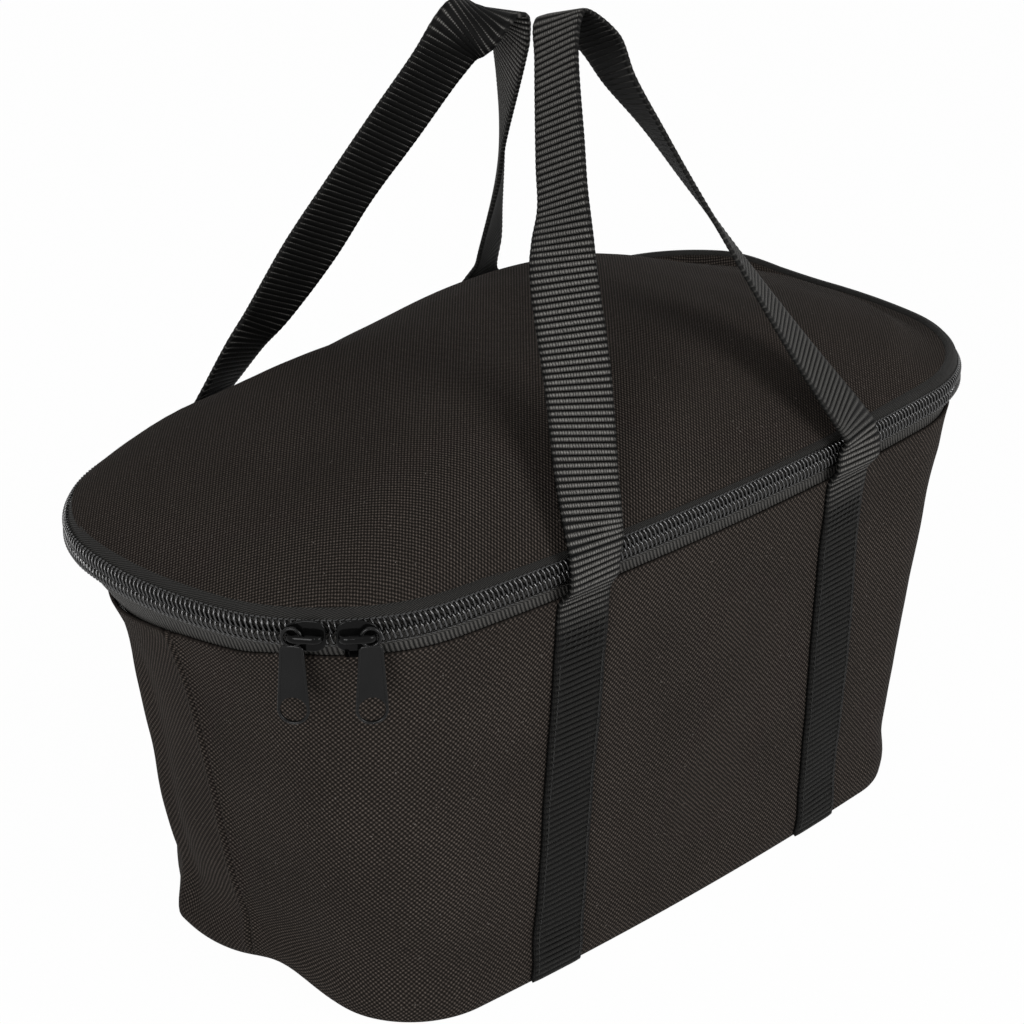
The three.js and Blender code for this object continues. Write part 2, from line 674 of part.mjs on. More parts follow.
function fromManifold(solid) {
  const mesh = solid.getMesh();
  const geometry = new THREE.BufferGeometry();
  geometry.setAttribute('position', new THREE.BufferAttribute(new Float32Array(mesh.vertProperties), 3));
  geometry.setIndex(new THREE.BufferAttribute(new Uint32Array(mesh.triVerts), 1));
  return geometry;
}

// A block between two corners, given as [x, y, z]
function block(low, high) {
  const size = high.map((value, axis) => value - low[axis]);
  const middle = high.map((value, axis) => (value + low[axis]) / 2);
  return new THREE.BoxGeometry(...size).translate(...middle);
}

// An outline in x and z, given thickness outwards from a depth
function flatPlate(shape, depth, thickness, curveSegments = SHIELD_CURVE_STEPS) {
  const geometry = new THREE.ExtrudeGeometry(shape, { depth: thickness, bevelEnabled: false, curveSegments });
  return geometry.rotateX(Math.PI / 2).translate(0, depth + thickness, 0);
}

// The slider's shield: square at the end that meets the closed zip, narrowed round the other
function shieldShape(toNose) {
  const back = -toNose * (SLIDER_LENGTH - SLIDER_NOSE);
  const nose = toNose * SLIDER_NOSE;
  const half = SLIDER_HEIGHT / 2;
  const narrow = half * SHIELD_NARROW;
  const widestFrom = nose * SHIELD_WIDEST_FROM;
  const widestTo = nose * SHIELD_WIDEST_TO;
  const noseHalf = half * SHIELD_CORNER;
  const shape = new THREE.Shape();
  shape.moveTo(back, -narrow);
  shape.lineTo(widestFrom, -half);
  shape.lineTo(widestTo, -half);
  shape.quadraticCurveTo(nose, -half, nose, -noseHalf);
  shape.lineTo(nose, noseHalf);
  shape.quadraticCurveTo(nose, half, widestTo, half);
  shape.lineTo(widestFrom, half);
  shape.lineTo(back, narrow);
  shape.closePath();
  return shape;
}

// Two shields, one outside the coil and one behind the tape, joined by a thin wedge between the coil rows,
// with the bail that carries the pull on the outer one
function sliderSolid(toNose) {
  const outer = SLIDER_CLEARANCE;
  const backSag = ZIP_LINE.cornerRadius - Math.sqrt(ZIP_LINE.cornerRadius ** 2 - SLIDER_NOSE ** 2);
  const inner = -(tapeFace + TAPE + SLIDER_CLEARANCE + backSag);
  const face = outer + SLIDER_PLATE;
  const wedgeLow = [-WEDGE_HALF_LENGTH, inner - JOIN_LAP, -SLIDER_WEB / 2];
  const wedgeHigh = [WEDGE_HALF_LENGTH, outer + JOIN_LAP, SLIDER_WEB / 2];
  const pieces = [
    flatPlate(shieldShape(toNose), inner - SLIDER_BACK_PLATE, SLIDER_BACK_PLATE),
    block(wedgeLow, wedgeHigh),
  ];
  const wire = BAIL_WIRE / 2;
  for (const post of [-BAIL_HALF_SPAN, BAIL_HALF_SPAN]) {
    const peg = new THREE.CylinderGeometry(wire, wire, BAIL_REACH, WIRE_FACETS);
    pieces.push(peg.translate(post, face + BAIL_REACH / 2 - JOIN_LAP, 0));
  }
  const reach = face + BAIL_REACH - wire;
  const barHalf = BAIL_HALF_SPAN + wire;
  pieces.push(block([-barHalf, reach - wire, -wire], [barHalf, reach + wire, wire]));
  let solid = toManifold(flatPlate(shieldShape(toNose), outer, SLIDER_PLATE));
  for (const piece of pieces) {
    solid = solid.add(toManifold(piece));
  }
  return fromManifold(solid);
}

// The pull hangs from its eye on one post of the bail and widens to a round end with a finger hole.
function pullSolid() {
  const eyeRadius = PULL_TOP_WIDTH / 2;
  const endRadius = PULL_END_WIDTH / 2;
  const drop = PULL_LENGTH - eyeRadius - endRadius;
  const shape = new THREE.Shape();
  shape.moveTo(-eyeRadius, 0);
  shape.absarc(0, 0, eyeRadius, Math.PI, 0, true);
  shape.lineTo(endRadius, -drop);
  shape.absarc(0, -drop, endRadius, 0, Math.PI, true);
  shape.closePath();
  for (const [height, diameter] of [[0, PULL_EYE], [-drop, PULL_HOLE]]) {
    const hole = new THREE.Path();
    hole.absarc(0, height, diameter / 2, 0, Math.PI * 2, false);
    shape.holes.push(hole);
  }
  const depth = SLIDER_CLEARANCE + SLIDER_PLATE + (BAIL_REACH - BAIL_WIRE - PULL_THICKNESS) / 2;
  return flatPlate(shape, depth, PULL_THICKNESS, PULL_CURVE_STEPS);
}

const corner = ZIP_QUARTER.corner;
for (const [name, degrees, toNose] of [['left', LEFT_SLIDER_ANGLE, 1], ['right', RIGHT_SLIDER_ANGLE, -1]]) {
  const angle = THREE.MathUtils.degToRad(degrees);
  const station = new THREE.Group();
  station.position.set(
    corner.x + ZIP_LINE.cornerRadius * Math.cos(angle),
    corner.y + ZIP_LINE.cornerRadius * Math.sin(angle),
    ZIP_LINE.z,
  );
  station.rotation.z = angle - Math.PI / 2;
  part.add(station);
  station.add(addPiece(`${name}_slider`, 'metal', sliderSolid(-toNose)));
  const pull = addPiece(`${name}_pull`, 'metal', pullSolid());
  pull.position.x = toNose * BAIL_HALF_SPAN;
  station.add(pull);
}

export default part;
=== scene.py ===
"""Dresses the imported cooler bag: woven body, domed lid, coil zip and two webbing handles.

Sizes are millimetres in the classes and metres on the meshes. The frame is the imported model's own: +X along
the bag, -Y towards its front, +Z up, with the origin on the ground under its middle.
"""

import logging
import math
from bisect import bisect_right
from collections.abc import Callable, Sequence
from dataclasses import dataclass, field
from enum import Enum
from functools import lru_cache

import bmesh
import bpy
from mathutils import Matrix, Vector, noise
from mathutils.geometry import interpolate_bezier


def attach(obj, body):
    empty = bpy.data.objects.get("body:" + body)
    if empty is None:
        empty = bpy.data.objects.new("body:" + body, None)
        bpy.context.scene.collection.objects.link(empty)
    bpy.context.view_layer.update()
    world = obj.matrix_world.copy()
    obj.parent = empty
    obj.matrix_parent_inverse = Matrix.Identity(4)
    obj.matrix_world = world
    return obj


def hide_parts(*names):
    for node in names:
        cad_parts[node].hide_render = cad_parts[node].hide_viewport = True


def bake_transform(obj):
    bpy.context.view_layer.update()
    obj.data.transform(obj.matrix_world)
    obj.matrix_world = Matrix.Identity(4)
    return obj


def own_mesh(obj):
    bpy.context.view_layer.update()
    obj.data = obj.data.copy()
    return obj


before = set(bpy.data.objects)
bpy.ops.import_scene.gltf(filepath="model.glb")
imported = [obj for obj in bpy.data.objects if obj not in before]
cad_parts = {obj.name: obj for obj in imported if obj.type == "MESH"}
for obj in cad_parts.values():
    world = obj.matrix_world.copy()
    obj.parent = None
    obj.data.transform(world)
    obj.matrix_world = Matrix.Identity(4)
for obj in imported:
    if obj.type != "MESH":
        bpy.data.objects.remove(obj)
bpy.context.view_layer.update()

MM = 0.001
PATTERN_UV = "weave"
SHARP_ANGLE = 1.2
WELD = 0.00001
HALVINGS = 44
WEBBING_RIB = 2.65
# Stations in one lap round the bag.
LAP = 4.0
LOG = logging.getLogger("cooler_bag")

Colour = tuple[float, float, float]
Point = tuple[float, float, float]
Flat = tuple[float, float]
Row = list[Vector]
Cut = list[Flat]
Socket = bpy.types.NodeSocket
Number = Socket | float
Paint = Socket | Sequence[float]
Section = Callable[[float], list[Flat]]
Line = Callable[[float, float], tuple[Vector, Vector]]


class Body(Enum):
    """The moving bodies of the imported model."""

    ROOT = "root"
    LID = "lid"
    FRONT_FOLD = "front_fold"
    BACK_FOLD = "back_fold"
    FRONT_HANDLE = "front_handle"
    BACK_HANDLE = "back_handle"


class Side(Enum):
    """The front or the back of the bag, with its direction along Y."""

    FRONT = -1
    BACK = 1

    @property
    def word(self) -> str:
        """The side's name in piece names."""
        return self.name.lower()


class End(Enum):
    """The left or the right end of the bag, with its direction along X."""

    LEFT = -1
    RIGHT = 1

    @property
    def word(self) -> str:
        """The end's name in piece names."""
        return self.name.lower()


def mix(low: float, high: float, share: float) -> float:
    """The value at a share of the way from low to high."""
    return low + (high - low) * share


def ease(share: float) -> float:
    """A smooth step from 0 to 1, held outside that range."""
    held = min(max(share, 0.0), 1.0)
    return held * held * (3.0 - 2.0 * held)


def hump(value: float, centre: float, spread: float) -> float:
    """A bell of height 1 about a centre."""
    return math.exp(-(((value - centre) / spread) ** 2))


def halved(low: float, high: float, before: Callable[[float], bool]) -> float:
    """Finds by halving where a test stops being true.

    Args:
        low: A value where it is true.
        high: A value where it isn't.
        before: The test.

    Returns:
        The last value where it is true.
    """
    for _ in range(HALVINGS):
        middle = (low + high) / 2
        if before(middle):
            low = middle
        else:
            high = middle
    return low


def grey(level: float) -> Colour:
    """A grey of one linear level."""
    return level, level, level


@dataclass(frozen=True)
class Ramp:
    """A smooth step from 0 at its start to 1 a span further on; a span below 0 runs downwards."""

    start: float
    span: float

    def at(self, value: float) -> float:
        """The step's share at a value."""
        return ease((value - self.start) / self.span)


@dataclass(frozen=True)
class Swell:
    """A bell-shaped swelling along one measure, or a dip where its size is below 0."""

    size: float
    centre: float
    spread: float

    def at(self, value: float) -> float:
        """The swelling's height at a value."""
        return self.size * hump(value, self.centre, self.spread)


@dataclass(frozen=True)
class Mound:
    """A round swelling seen from above, or a hollow where its size is below 0."""

    size: float
    x: float
    y: float
    spread: float

    def at(self, spot: Vector) -> float:
        """The swelling's height at a place on the ground plan."""
        away = (spot - Vector((self.x, self.y, 0.0))).length
        return self.size * hump(away, 0.0, self.spread)


@dataclass(frozen=True)
class Rumple:
    """Soft uneven relief: broad waves and finer ones, each with a height and a size."""

    broad: float
    broad_size: float
    fine: float
    fine_size: float

    def at(self, spot: Vector) -> float:
        """The relief at a place."""
        waves = self.broad * noise.noise(spot / self.broad_size)
        return waves + self.fine * noise.noise(spot / self.fine_size)


class NodeWriter:
    """Writes the node tree of one material."""

    def __init__(self, name: str) -> None:
        """Starts a material with its principled shader.

        Args:
            name: The material's name.
        """
        self.material = bpy.data.materials.new(name)
        self.material.use_nodes = True
        self.tree = self.material.node_tree
        self.shader = self.tree.nodes["Principled BSDF"]

    def node(self, kind: str, **settings: object) -> bpy.types.Node:
        """Adds a node.

        Args:
            kind: The node's type name without its prefix.
            **settings: Values for the node's own properties.

        Returns:
            The node.
        """
        made = self.tree.nodes.new("ShaderNode" + kind)
        for key, value in settings.items():
            setattr(made, key, value)
        return made

    def feed(self, socket: Socket, value: Number | Paint) -> None:
        """Links or sets one input.

        Args:
            socket: The input.
            value: Another node's output, or a constant.
        """
        if isinstance(value, bpy.types.NodeSocket):
            self.tree.links.new(value, socket)
        else:
            socket.default_value = value

    def math(self, operation: str, *values: Number) -> Socket:
        """Adds a math node.

        Args:
            operation: The operation's name.
            *values: Its inputs, in order.

        Returns:
            The result.
        """
        made = self.node("Math", operation=operation)
        for socket, value in zip(made.inputs, values):
            self.feed(socket, value)
        return made.outputs[0]

    def times(self, first: Number, second: Number) -> Socket:
        """The product of two values."""
        return self.math("MULTIPLY", first, second)

    def plus(self, first: Number, second: Number) -> Socket:
        """The sum of two values."""
        return self.math("ADD", first, second)

    def less(self, first: Number, second: Number) -> Socket:
        """The first value less the second."""
        return self.math("SUBTRACT", first, second)

    def scaled(self, value: Socket, gain: float, base: Number) -> Socket:
        """A value times a gain, on top of a base."""
        return self.math("MULTIPLY_ADD", value, gain, base)

    def held(self, value: Socket, high: float) -> Socket:
        """A value kept between 0 and a high end."""
        return self.math("MINIMUM", self.math("MAXIMUM", value, 0.0), high)

    def wave(self, run: Socket, half_length: float) -> Socket:
        """A sine wave along a run, from -1 to 1."""
        return self.math("SINE", self.times(run, math.pi / half_length))

    def lifted(self, wave: Socket) -> Socket:
        """A wave from -1 to 1 brought to 0 to 1."""
        return self.scaled(wave, 0.5, 0.5)

    def mix_colour(self, share: Socket, low: Sequence[float], high: Sequence[float]) -> Socket:
        """Blends two colours.

        Args:
            share: How much of the second colour shows.
            low: The first colour, linear.
            high: The second colour, linear.

        Returns:
            The blended colour.
        """
        return self.blend_colour(share, (*low, 1.0), (*high, 1.0))

    def blend_colour(self, share: Socket, low: Paint, high: Paint) -> Socket:
        """Blends two colours that may themselves be made by nodes.

        Args:
            share: How much of the second colour shows.
            low: The first colour, linear, with its alpha.
            high: The second colour, linear, with its alpha.

        Returns:
            The blended colour.
        """
        made = self.node("Mix", data_type="RGBA", clamp_factor=True)
        self.feed(made.inputs["Factor"], share)
        self.feed(made.inputs["A"], low)
        self.feed(made.inputs["B"], high)
        return made.outputs["Result"]

    def pattern(self) -> tuple[Socket, Socket, Socket]:
        """The piece's pattern map: the vector, and its two axes in millimetres."""
        vector = self.node("UVMap", uv_map=PATTERN_UV).outputs["UV"]
        split = self.node("SeparateXYZ")
        self.feed(split.inputs[0], vector)
        return vector, split.outputs["X"], split.outputs["Y"]

    def place(self) -> Socket:
        """The piece's own coordinates, in metres."""
        return self.node("TexCoord").outputs["Object"]

    def noise(self, vector: Socket, scale: float, detail: float = 2.0) -> Socket:
        """Adds a noise texture.

        Args:
            vector: Where it is read.
            scale: Its scale.
            detail: Its octaves.

        Returns:
            The noise value.
        """
        made = self.node("TexNoise")
        self.feed(made.inputs["Vector"], vector)
        self.feed(made.inputs["Scale"], scale)
        self.feed(made.inputs["Detail"], detail)
        return made.outputs["Fac"]

    def specks(self, vector: Socket, scale: float, size: float) -> Socket:
        """Sparse round specks.

        Args:
            vector: Where they are read.
            scale: How closely they lie.
            size: The radius of a speck, in cells.

        Returns:
            1 inside a speck and 0 outside.
        """
        made = self.node("TexVoronoi")
        self.feed(made.inputs["Vector"], vector)
        self.feed(made.inputs["Scale"], scale)
        return self.math("LESS_THAN", made.outputs["Distance"], size)

    def bump(self, height: Socket, depth_mm: float, strength: float = 1.0) -> None:
        """Gives the shader a bump.

        Args:
            height: The height, from 0 to 1.
            depth_mm: The depth of the full height.
            strength: How strongly it shades.
        """
        made = self.node("Bump")
        self.feed(made.inputs["Height"], height)
        self.feed(made.inputs["Distance"], depth_mm * MM)
        self.feed(made.inputs["Strength"], strength)
        self.feed(self.shader.inputs["Normal"], made.outputs["Normal"])

    def colour(self, value: Paint) -> None:
        """Gives the shader its colour, linked or constant."""
        constant = not isinstance(value, bpy.types.NodeSocket)
        self.feed(self.shader.inputs["Base Color"], (*value, 1.0) if constant else value)

    def surface(self, **values: Number) -> None:
        """Sets shader inputs by name, with underscores for spaces."""
        for key, value in values.items():
            self.feed(self.shader.inputs[key.replace("_", " ")], value)


@dataclass(frozen=True)
class WovenFinish:
    """Plain-woven polyester: yarns that pass over and under each other, with a little lint."""

    name: str = "woven_polyester"
    slot: str = "body_fabric"
    yarn: float = 1.15
    gap: Colour = (0.0052, 0.0043, 0.0037)
    crown: Colour = (0.0950, 0.0783, 0.0673)
    crown_power: float = 2.8
    wander: float = 0.7
    wander_scale: float = 0.3
    fuzz_scale: float = 1.0
    fuzz_gain: float = 2.1
    fuzz_base: float = -0.2
    fuzz_height: float = 0.35
    worn_scale: float = 22.0
    worn_gain: float = 0.6
    worn_base: float = 0.7
    lint: Colour = (0.150, 0.137, 0.124)
    lint_scale: float = 0.16
    lint_size: float = 0.055
    lint_share: float = 0.5
    depth: float = 0.36
    roughness: float = 0.88
    shine: float = 0.05

    def build(self) -> bpy.types.Material:
        """Writes the material."""
        writer = NodeWriter(self.name)
        vector, along, up = writer.pattern()
        wander = writer.times(writer.noise(vector, self.wander_scale), self.wander)
        warp = writer.wave(writer.plus(along, wander), self.yarn)
        weft = writer.wave(writer.plus(up, wander), self.yarn)
        over = writer.lifted(writer.times(warp, weft))
        fuzz = writer.noise(vector, self.fuzz_scale, detail=4.0)
        uneven = writer.scaled(fuzz, self.fuzz_gain, self.fuzz_base)
        raised = writer.times(writer.math("POWER", over, self.crown_power), uneven)
        worn = writer.scaled(writer.noise(writer.place(), self.worn_scale), self.worn_gain, self.worn_base)
        cloth = writer.mix_colour(writer.times(raised, worn), self.gap, self.crown)
        specks = writer.times(writer.specks(vector, self.lint_scale, self.lint_size), self.lint_share)
        writer.colour(writer.blend_colour(specks, cloth, (*self.lint, 1.0)))
        writer.bump(writer.scaled(fuzz, self.fuzz_height, over), self.depth)
        writer.surface(Roughness=self.roughness, Specular_IOR_Level=self.shine)
        return writer.material


@dataclass(frozen=True)
class WebbingFinish:
    """Ribbed webbing: beads of yarn along each rib, with painted highlights on the free webbing's crests and
    painted shade where it is sewn down and on the loop past its top.

    The lengths count along the webbing from its lower end.
    """

    name: str = "ribbed_webbing"
    slot: str = "webbing"
    gap: Colour = (0.0016, 0.0016, 0.0015)
    # The free webbing's pale crown is partly the yarn's own colour and partly painted highlight: the glints
    # on the rib crests and beads.
    crown: Colour = (0.180, 0.174, 0.163)
    crest_power: float = 4.7
    bead: float = 1.2
    bead_gain: float = 0.85
    bead_base: float = 0.1
    slant: float = 0.35
    wander: float = 1.6
    wander_scale: float = 0.5
    fibre_scale: float = 1.9
    fibre_gain: float = 1.3
    fibre_base: float = 0.2
    fibre_height: float = 0.3
    # Painted shade: where it is sewn down the webbing takes these darker colours, a shaded copy of the free
    # webbing's.
    sewn_shade_gap: Colour = (0.0022, 0.0021, 0.0020)
    sewn_shade_crown: Colour = (0.0150, 0.0147, 0.0135)
    sewn_length: float = 178.0
    sewn_fade: float = 24.0
    # Painted shade: past the loop's top the webbing takes these darker colours, a shaded copy of the free
    # webbing's.
    past_top_shade_gap: Colour = (0.0085, 0.0084, 0.0080)
    past_top_shade_crown: Colour = (0.0520, 0.0508, 0.0480)
    past_top_shade_from: float = 455.0
    past_top_shade_fade: float = 60.0
    past_top_shade_share: float = 0.75
    selvedge: float = 12.9
    selvedge_shade: float = 0.6
    depth: float = 0.30
    roughness: float = 0.6
    shine: float = 0.07

    def build(self) -> bpy.types.Material:
        """Writes the material."""
        writer = NodeWriter(self.name)
        vector, across, along = writer.pattern()
        crest = writer.lifted(writer.wave(along, WEBBING_RIB / 2))
        wander = writer.times(writer.noise(vector, self.wander_scale), self.wander)
        turn = writer.times(writer.plus(across, wander), math.pi / self.bead)
        slanted = writer.plus(turn, writer.times(along, self.slant))
        beads = writer.math("ABSOLUTE", writer.math("SINE", slanted))
        fibre = writer.noise(vector, self.fibre_scale, detail=3.0)
        flecked = writer.scaled(fibre, self.fibre_gain, self.fibre_base)
        ridge = writer.times(writer.math("POWER", crest, self.crest_power), flecked)
        border = writer.less(writer.math("ABSOLUTE", across), self.selvedge)
        ridge = writer.times(ridge, writer.less(1.0, writer.held(border, self.selvedge_shade)))
        beaded = writer.times(ridge, writer.scaled(beads, self.bead_gain, self.bead_base))
        # free: the loose webbing, with painted highlights on its crests and beads.
        free = writer.mix_colour(beaded, self.gap, self.crown)
        # flat: the webbing past the loop's top, without beads and darkened with painted shade.
        flat = writer.mix_colour(ridge, self.past_top_shade_gap, self.past_top_shade_crown)
        # sewn: the sewn-down strap's colour, darkened with painted shade.
        sewn = writer.mix_colour(ridge, self.sewn_shade_gap, self.sewn_shade_crown)
        # The painted shade past the loop's top fades in over its fade length.
        onward = writer.less(along, self.past_top_shade_from)
        past_top_shade = writer.held(writer.times(onward, self.past_top_shade_share / self.past_top_shade_fade), self.past_top_shade_share)
        past = writer.less(along, self.sewn_length)
        loose = writer.held(writer.scaled(past, 1.0 / self.sewn_fade, 0.5), 1.0)
        # The sewn and past-top colours are painted shade; the free colour holds the painted highlights.
        writer.colour(writer.blend_colour(loose, sewn, writer.blend_colour(past_top_shade, free, flat)))
        writer.bump(writer.scaled(fibre, self.fibre_height, writer.times(beads, crest)), self.depth)
        writer.surface(Roughness=self.roughness, Specular_IOR_Level=self.shine)
        return writer.material


@dataclass(frozen=True)
class TapeFinish:
    """Herringbone zip tape."""

    name: str = "herringbone_tape"
    slot: str = "zip_tape"
    rib: float = 2.0
    run: float = 6.0
    lean: float = 0.8
    gap: Colour = (0.0045, 0.0045, 0.0043)
    crown: Colour = (0.0860, 0.0825, 0.0770)
    fibre_scale: float = 2.2
    fibre_base: float = 0.2
    fibre_height: float = 0.4
    depth: float = 0.22
    roughness: float = 0.66
    shine: float = 0.10

    def build(self) -> bpy.types.Material:
        """Writes the material."""
        writer = NodeWriter(self.name)
        vector, along, across = writer.pattern()
        zigzag = writer.times(writer.math("PINGPONG", across, self.run), self.lean)
        rib = writer.lifted(writer.wave(writer.plus(along, zigzag), self.rib / 2))
        fibre = writer.noise(vector, self.fibre_scale, detail=3.0)
        shade = writer.times(rib, writer.plus(fibre, self.fibre_base))
        writer.colour(writer.mix_colour(shade, self.gap, self.crown))
        writer.bump(writer.scaled(fibre, self.fibre_height, rib), self.depth)
        writer.surface(Roughness=self.roughness, Specular_IOR_Level=self.shine)
        return writer.material


@dataclass(frozen=True)
class GlossFinish:
    """A dark gloss with fine unevenness, for the coil, the metal parts and the sewing thread."""

    name: str
    slot: str
    low: Colour
    high: Colour
    roughness: float
    grain: float = 900.0
    patches: float = 75.0
    unevenness: float = 0.16
    depth: float = 0.02
    shine: float = 0.2

    def build(self) -> bpy.types.Material:
        """Writes the material."""
        writer = NodeWriter(self.name)
        grain = writer.noise(writer.place(), self.grain, detail=3.0)
        patches = writer.noise(writer.place(), self.patches)
        writer.colour(writer.mix_colour(patches, self.low, self.high))
        spread = writer.scaled(grain, self.unevenness, self.roughness - self.unevenness / 2)
        writer.bump(grain, self.depth)
        writer.surface(Roughness=spread, Specular_IOR_Level=self.shine)
        return writer.material


@dataclass(frozen=True)
class LiningFinish:
    """Crinkled silver lining film."""

    name: str = "lining_film"
    slot: str = "lining"
    low: Colour = (0.34, 0.35, 0.36)
    high: Colour = (0.54, 0.55, 0.56)
    patches: float = 18.0
    crinkles: float = 55.0
    depth: float = 2.2
    strength: float = 0.6
    roughness: float = 0.34
    unevenness: float = 0.3
    metallic: float = 0.55

    def build(self) -> bpy.types.Material:
        """Writes the material."""
        writer = NodeWriter(self.name)
        place = writer.place()
        crinkle = writer.noise(place, self.crinkles, detail=4.0)
        ridge = writer.math("ABSOLUTE", writer.less(crinkle, 0.5))
        writer.colour(writer.mix_colour(writer.noise(place, self.patches), self.low, self.high))
        writer.bump(ridge, self.depth, self.strength)
        spread = writer.scaled(crinkle, self.unevenness, self.roughness)
        writer.surface(Roughness=spread, Metallic=self.metallic)
        return writer.material


@dataclass(frozen=True)
class FoamFinish:
    """Closed-cell foam or board: a matt, finely pitted surface."""

    name: str
    slot: str
    low: Colour
    high: Colour
    cells: float = 700.0
    patches: float = 40.0
    depth: float = 0.25
    strength: float = 0.5
    roughness: float = 0.92
    shine: float = 0.2

    def build(self) -> bpy.types.Material:
        """Writes the material."""
        writer = NodeWriter(self.name)
        place = writer.place()
        cells = writer.noise(place, self.cells, detail=3.0)
        writer.colour(writer.mix_colour(writer.noise(place, self.patches), self.low, self.high))
        writer.bump(cells, self.depth, self.strength)
        writer.surface(Roughness=self.roughness, Specular_IOR_Level=self.shine)
        return writer.material


class Finish(Enum):
    """The bag's finishes."""

    WOVEN = WovenFinish()
    WEBBING = WebbingFinish()
    TAPE = TapeFinish()
    SHADED_TAPE = TapeFinish(
        "shaded_tape", gap=(0.0030, 0.0030, 0.0029), crown=(0.0450, 0.0432, 0.0403)
    )
    COIL = GlossFinish("coil_nylon", "zip_coil", grey(0.002), grey(0.005), 0.17, shine=0.8)
    METAL = GlossFinish("black_metal", "zip_metal", grey(0.001), grey(0.003), 0.12, shine=0.10)
    PULL = GlossFinish("pull_metal", "zip_metal", grey(0.002), grey(0.006), 0.20, shine=0.165)
    THREAD = GlossFinish(
        "sewing_thread", "webbing", grey(0.005), (0.014, 0.014, 0.013), 0.6, depth=0.05
    )
    LINING = LiningFinish()
    FOAM = FoamFinish("foam", "foam", (0.70, 0.70, 0.66), (0.84, 0.84, 0.80))
    BOARD = FoamFinish("base_board", "board", (0.030, 0.030, 0.030), (0.055, 0.054, 0.052), 300.0)

    @property
    def material(self) -> bpy.types.Material:
        """The finish's material, written on first use."""
        found = bpy.data.materials.get(self.value.name)
        return found or self.value.build()


def finish_piece(
    mesh: bmesh.types.BMesh,
    name: str,
    finish: Finish,
    nodes: Sequence[str] = (),
    thickness: float = 0.0,
    offset: float = -1.0,
) -> bpy.types.Object:
    """Turns a bmesh into a finished piece.

    Args:
        mesh: The shape, in metres; it is freed.
        name: The piece's name.
        finish: Its finish.
        nodes: The CAD nodes it stands for.
        thickness: The thickness a sheet gets, in millimetres; 0 for a closed shape.
        offset: Where the sheet lies in its thickness, from -1 outside to 1 inside.

    Returns:
        The piece.
    """
    data = bpy.data.meshes.new(name)
    for face in mesh.faces:
        face.smooth = True
    for edge in mesh.edges:
        edge.smooth = edge.calc_face_angle(0.0) < SHARP_ANGLE
    mesh.to_mesh(data)
    mesh.free()
    piece = bpy.data.objects.new(name, data)
    bpy.context.scene.collection.objects.link(piece)
    data.materials.append(finish.material)
    if thickness > 0.0:
        wall = piece.modifiers.new("thickness", "SOLIDIFY")
        wall.thickness = thickness * MM
        wall.offset = offset
    if nodes:
        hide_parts(*nodes)
    LOG.info("%s: %d faces", name, len(data.polygons))
    return piece


def laid_sheet(rows: Sequence[Row], cut: Sequence[Cut], closed: bool = False) -> bmesh.types.BMesh:
    """Lays a grid of cloth through rows of points.

    Args:
        rows: Points in millimetres, row by row; a row runs left to right as seen from outside.
        cut: The pattern place of each point, in millimetres.
        closed: Whether each row closes on itself.

    Returns:
        The sheet, in metres, with its pattern map.
    """
    mesh = bmesh.new()
    columns = len(rows[0]) - 1
    steps = len(rows) - 1
    half = 0.5
    bmesh.ops.create_grid(mesh, x_segments=columns, y_segments=steps, size=half)
    pattern = mesh.loops.layers.uv.new(PATTERN_UV)
    spot = {}
    for vertex in mesh.verts:
        spot[vertex] = (round((vertex.co.y + half) * steps), round((vertex.co.x + half) * columns))
    for face in mesh.faces:
        for loop in face.loops:
            row, column = spot[loop.vert]
            loop[pattern].uv = cut[row][column]
    for vertex, (row, column) in spot.items():
        vertex.co = rows[row][column] * MM
    if closed:
        bmesh.ops.remove_doubles(mesh, verts=mesh.verts[:], dist=WELD)
    return mesh


def round_rod(
    mesh: bmesh.types.BMesh, points: Sequence[Vector], radius: float, sides: int = 12, closed: bool = False
) -> None:
    """Bends a round rod through points and adds it.

    Args:
        mesh: What it is added to.
        points: The rod's line.
        radius: Its radius.
        sides: The facets round it.
        closed: Whether it closes on itself.
    """
    count = len(points)
    loops = []
    fresh: list[bmesh.types.BMVert] = []
    for index, point in enumerate(points):
        ahead = points[(index + 1) % count] if closed else points[min(index + 1, count - 1)]
        behind = points[index - 1] if closed else points[max(index - 1, 0)]
        turn = (ahead - behind).to_track_quat("Z", "Y").to_matrix().to_4x4()
        capped = not closed and index in (0, count - 1)
        made = bmesh.ops.create_circle(
            mesh, segments=sides, radius=radius, cap_ends=capped, matrix=Matrix.Translation(point) @ turn
        )["verts"]
        ring = set(made)
        edges = [edge for vertex in made for edge in vertex.link_edges if set(edge.verts) <= ring]
        loops.append(list(dict.fromkeys(edges)))
        fresh.extend(made)
    pairs = list(zip(loops, loops[1:]))
    if closed:
        pairs.append((loops[-1], loops[0]))
    for low, high in pairs:
        bmesh.ops.bridge_loops(mesh, edges=low + high)
    faces = list({face for vertex in fresh for face in vertex.link_faces})
    bmesh.ops.recalc_face_normals(mesh, faces=faces)


def flat_cut(rows: Sequence[Row], fineness: float = 1.0) -> list[Cut]:
    """A pattern map that lies flat in X and Y.

    Args:
        rows: The sheet's points.
        fineness: How many times finer than life the pattern lies.

    Returns:
        The pattern place of each point.
    """
    return [[(point.x * fineness, point.y * fineness) for point in row] for row in rows]


def run_cut(rows: Sequence[Row], middle: int = 0) -> list[Cut]:
    """A pattern map by the length run along each row and up the middle column.

    Args:
        rows: The sheet's points.
        middle: The column where the length along a row starts from 0.

    Returns:
        The pattern place of each point.
    """
    maps: list[Cut] = []
    height = 0.0
    for index, row in enumerate(rows):
        if index:
            height += (row[middle] - rows[index - 1][middle]).length
        lengths = [0.0]
        for here, there in zip(row, row[1:]):
            lengths.append(lengths[-1] + (there - here).length)
        maps.append([(length - lengths[middle], height) for length in lengths])
    return maps


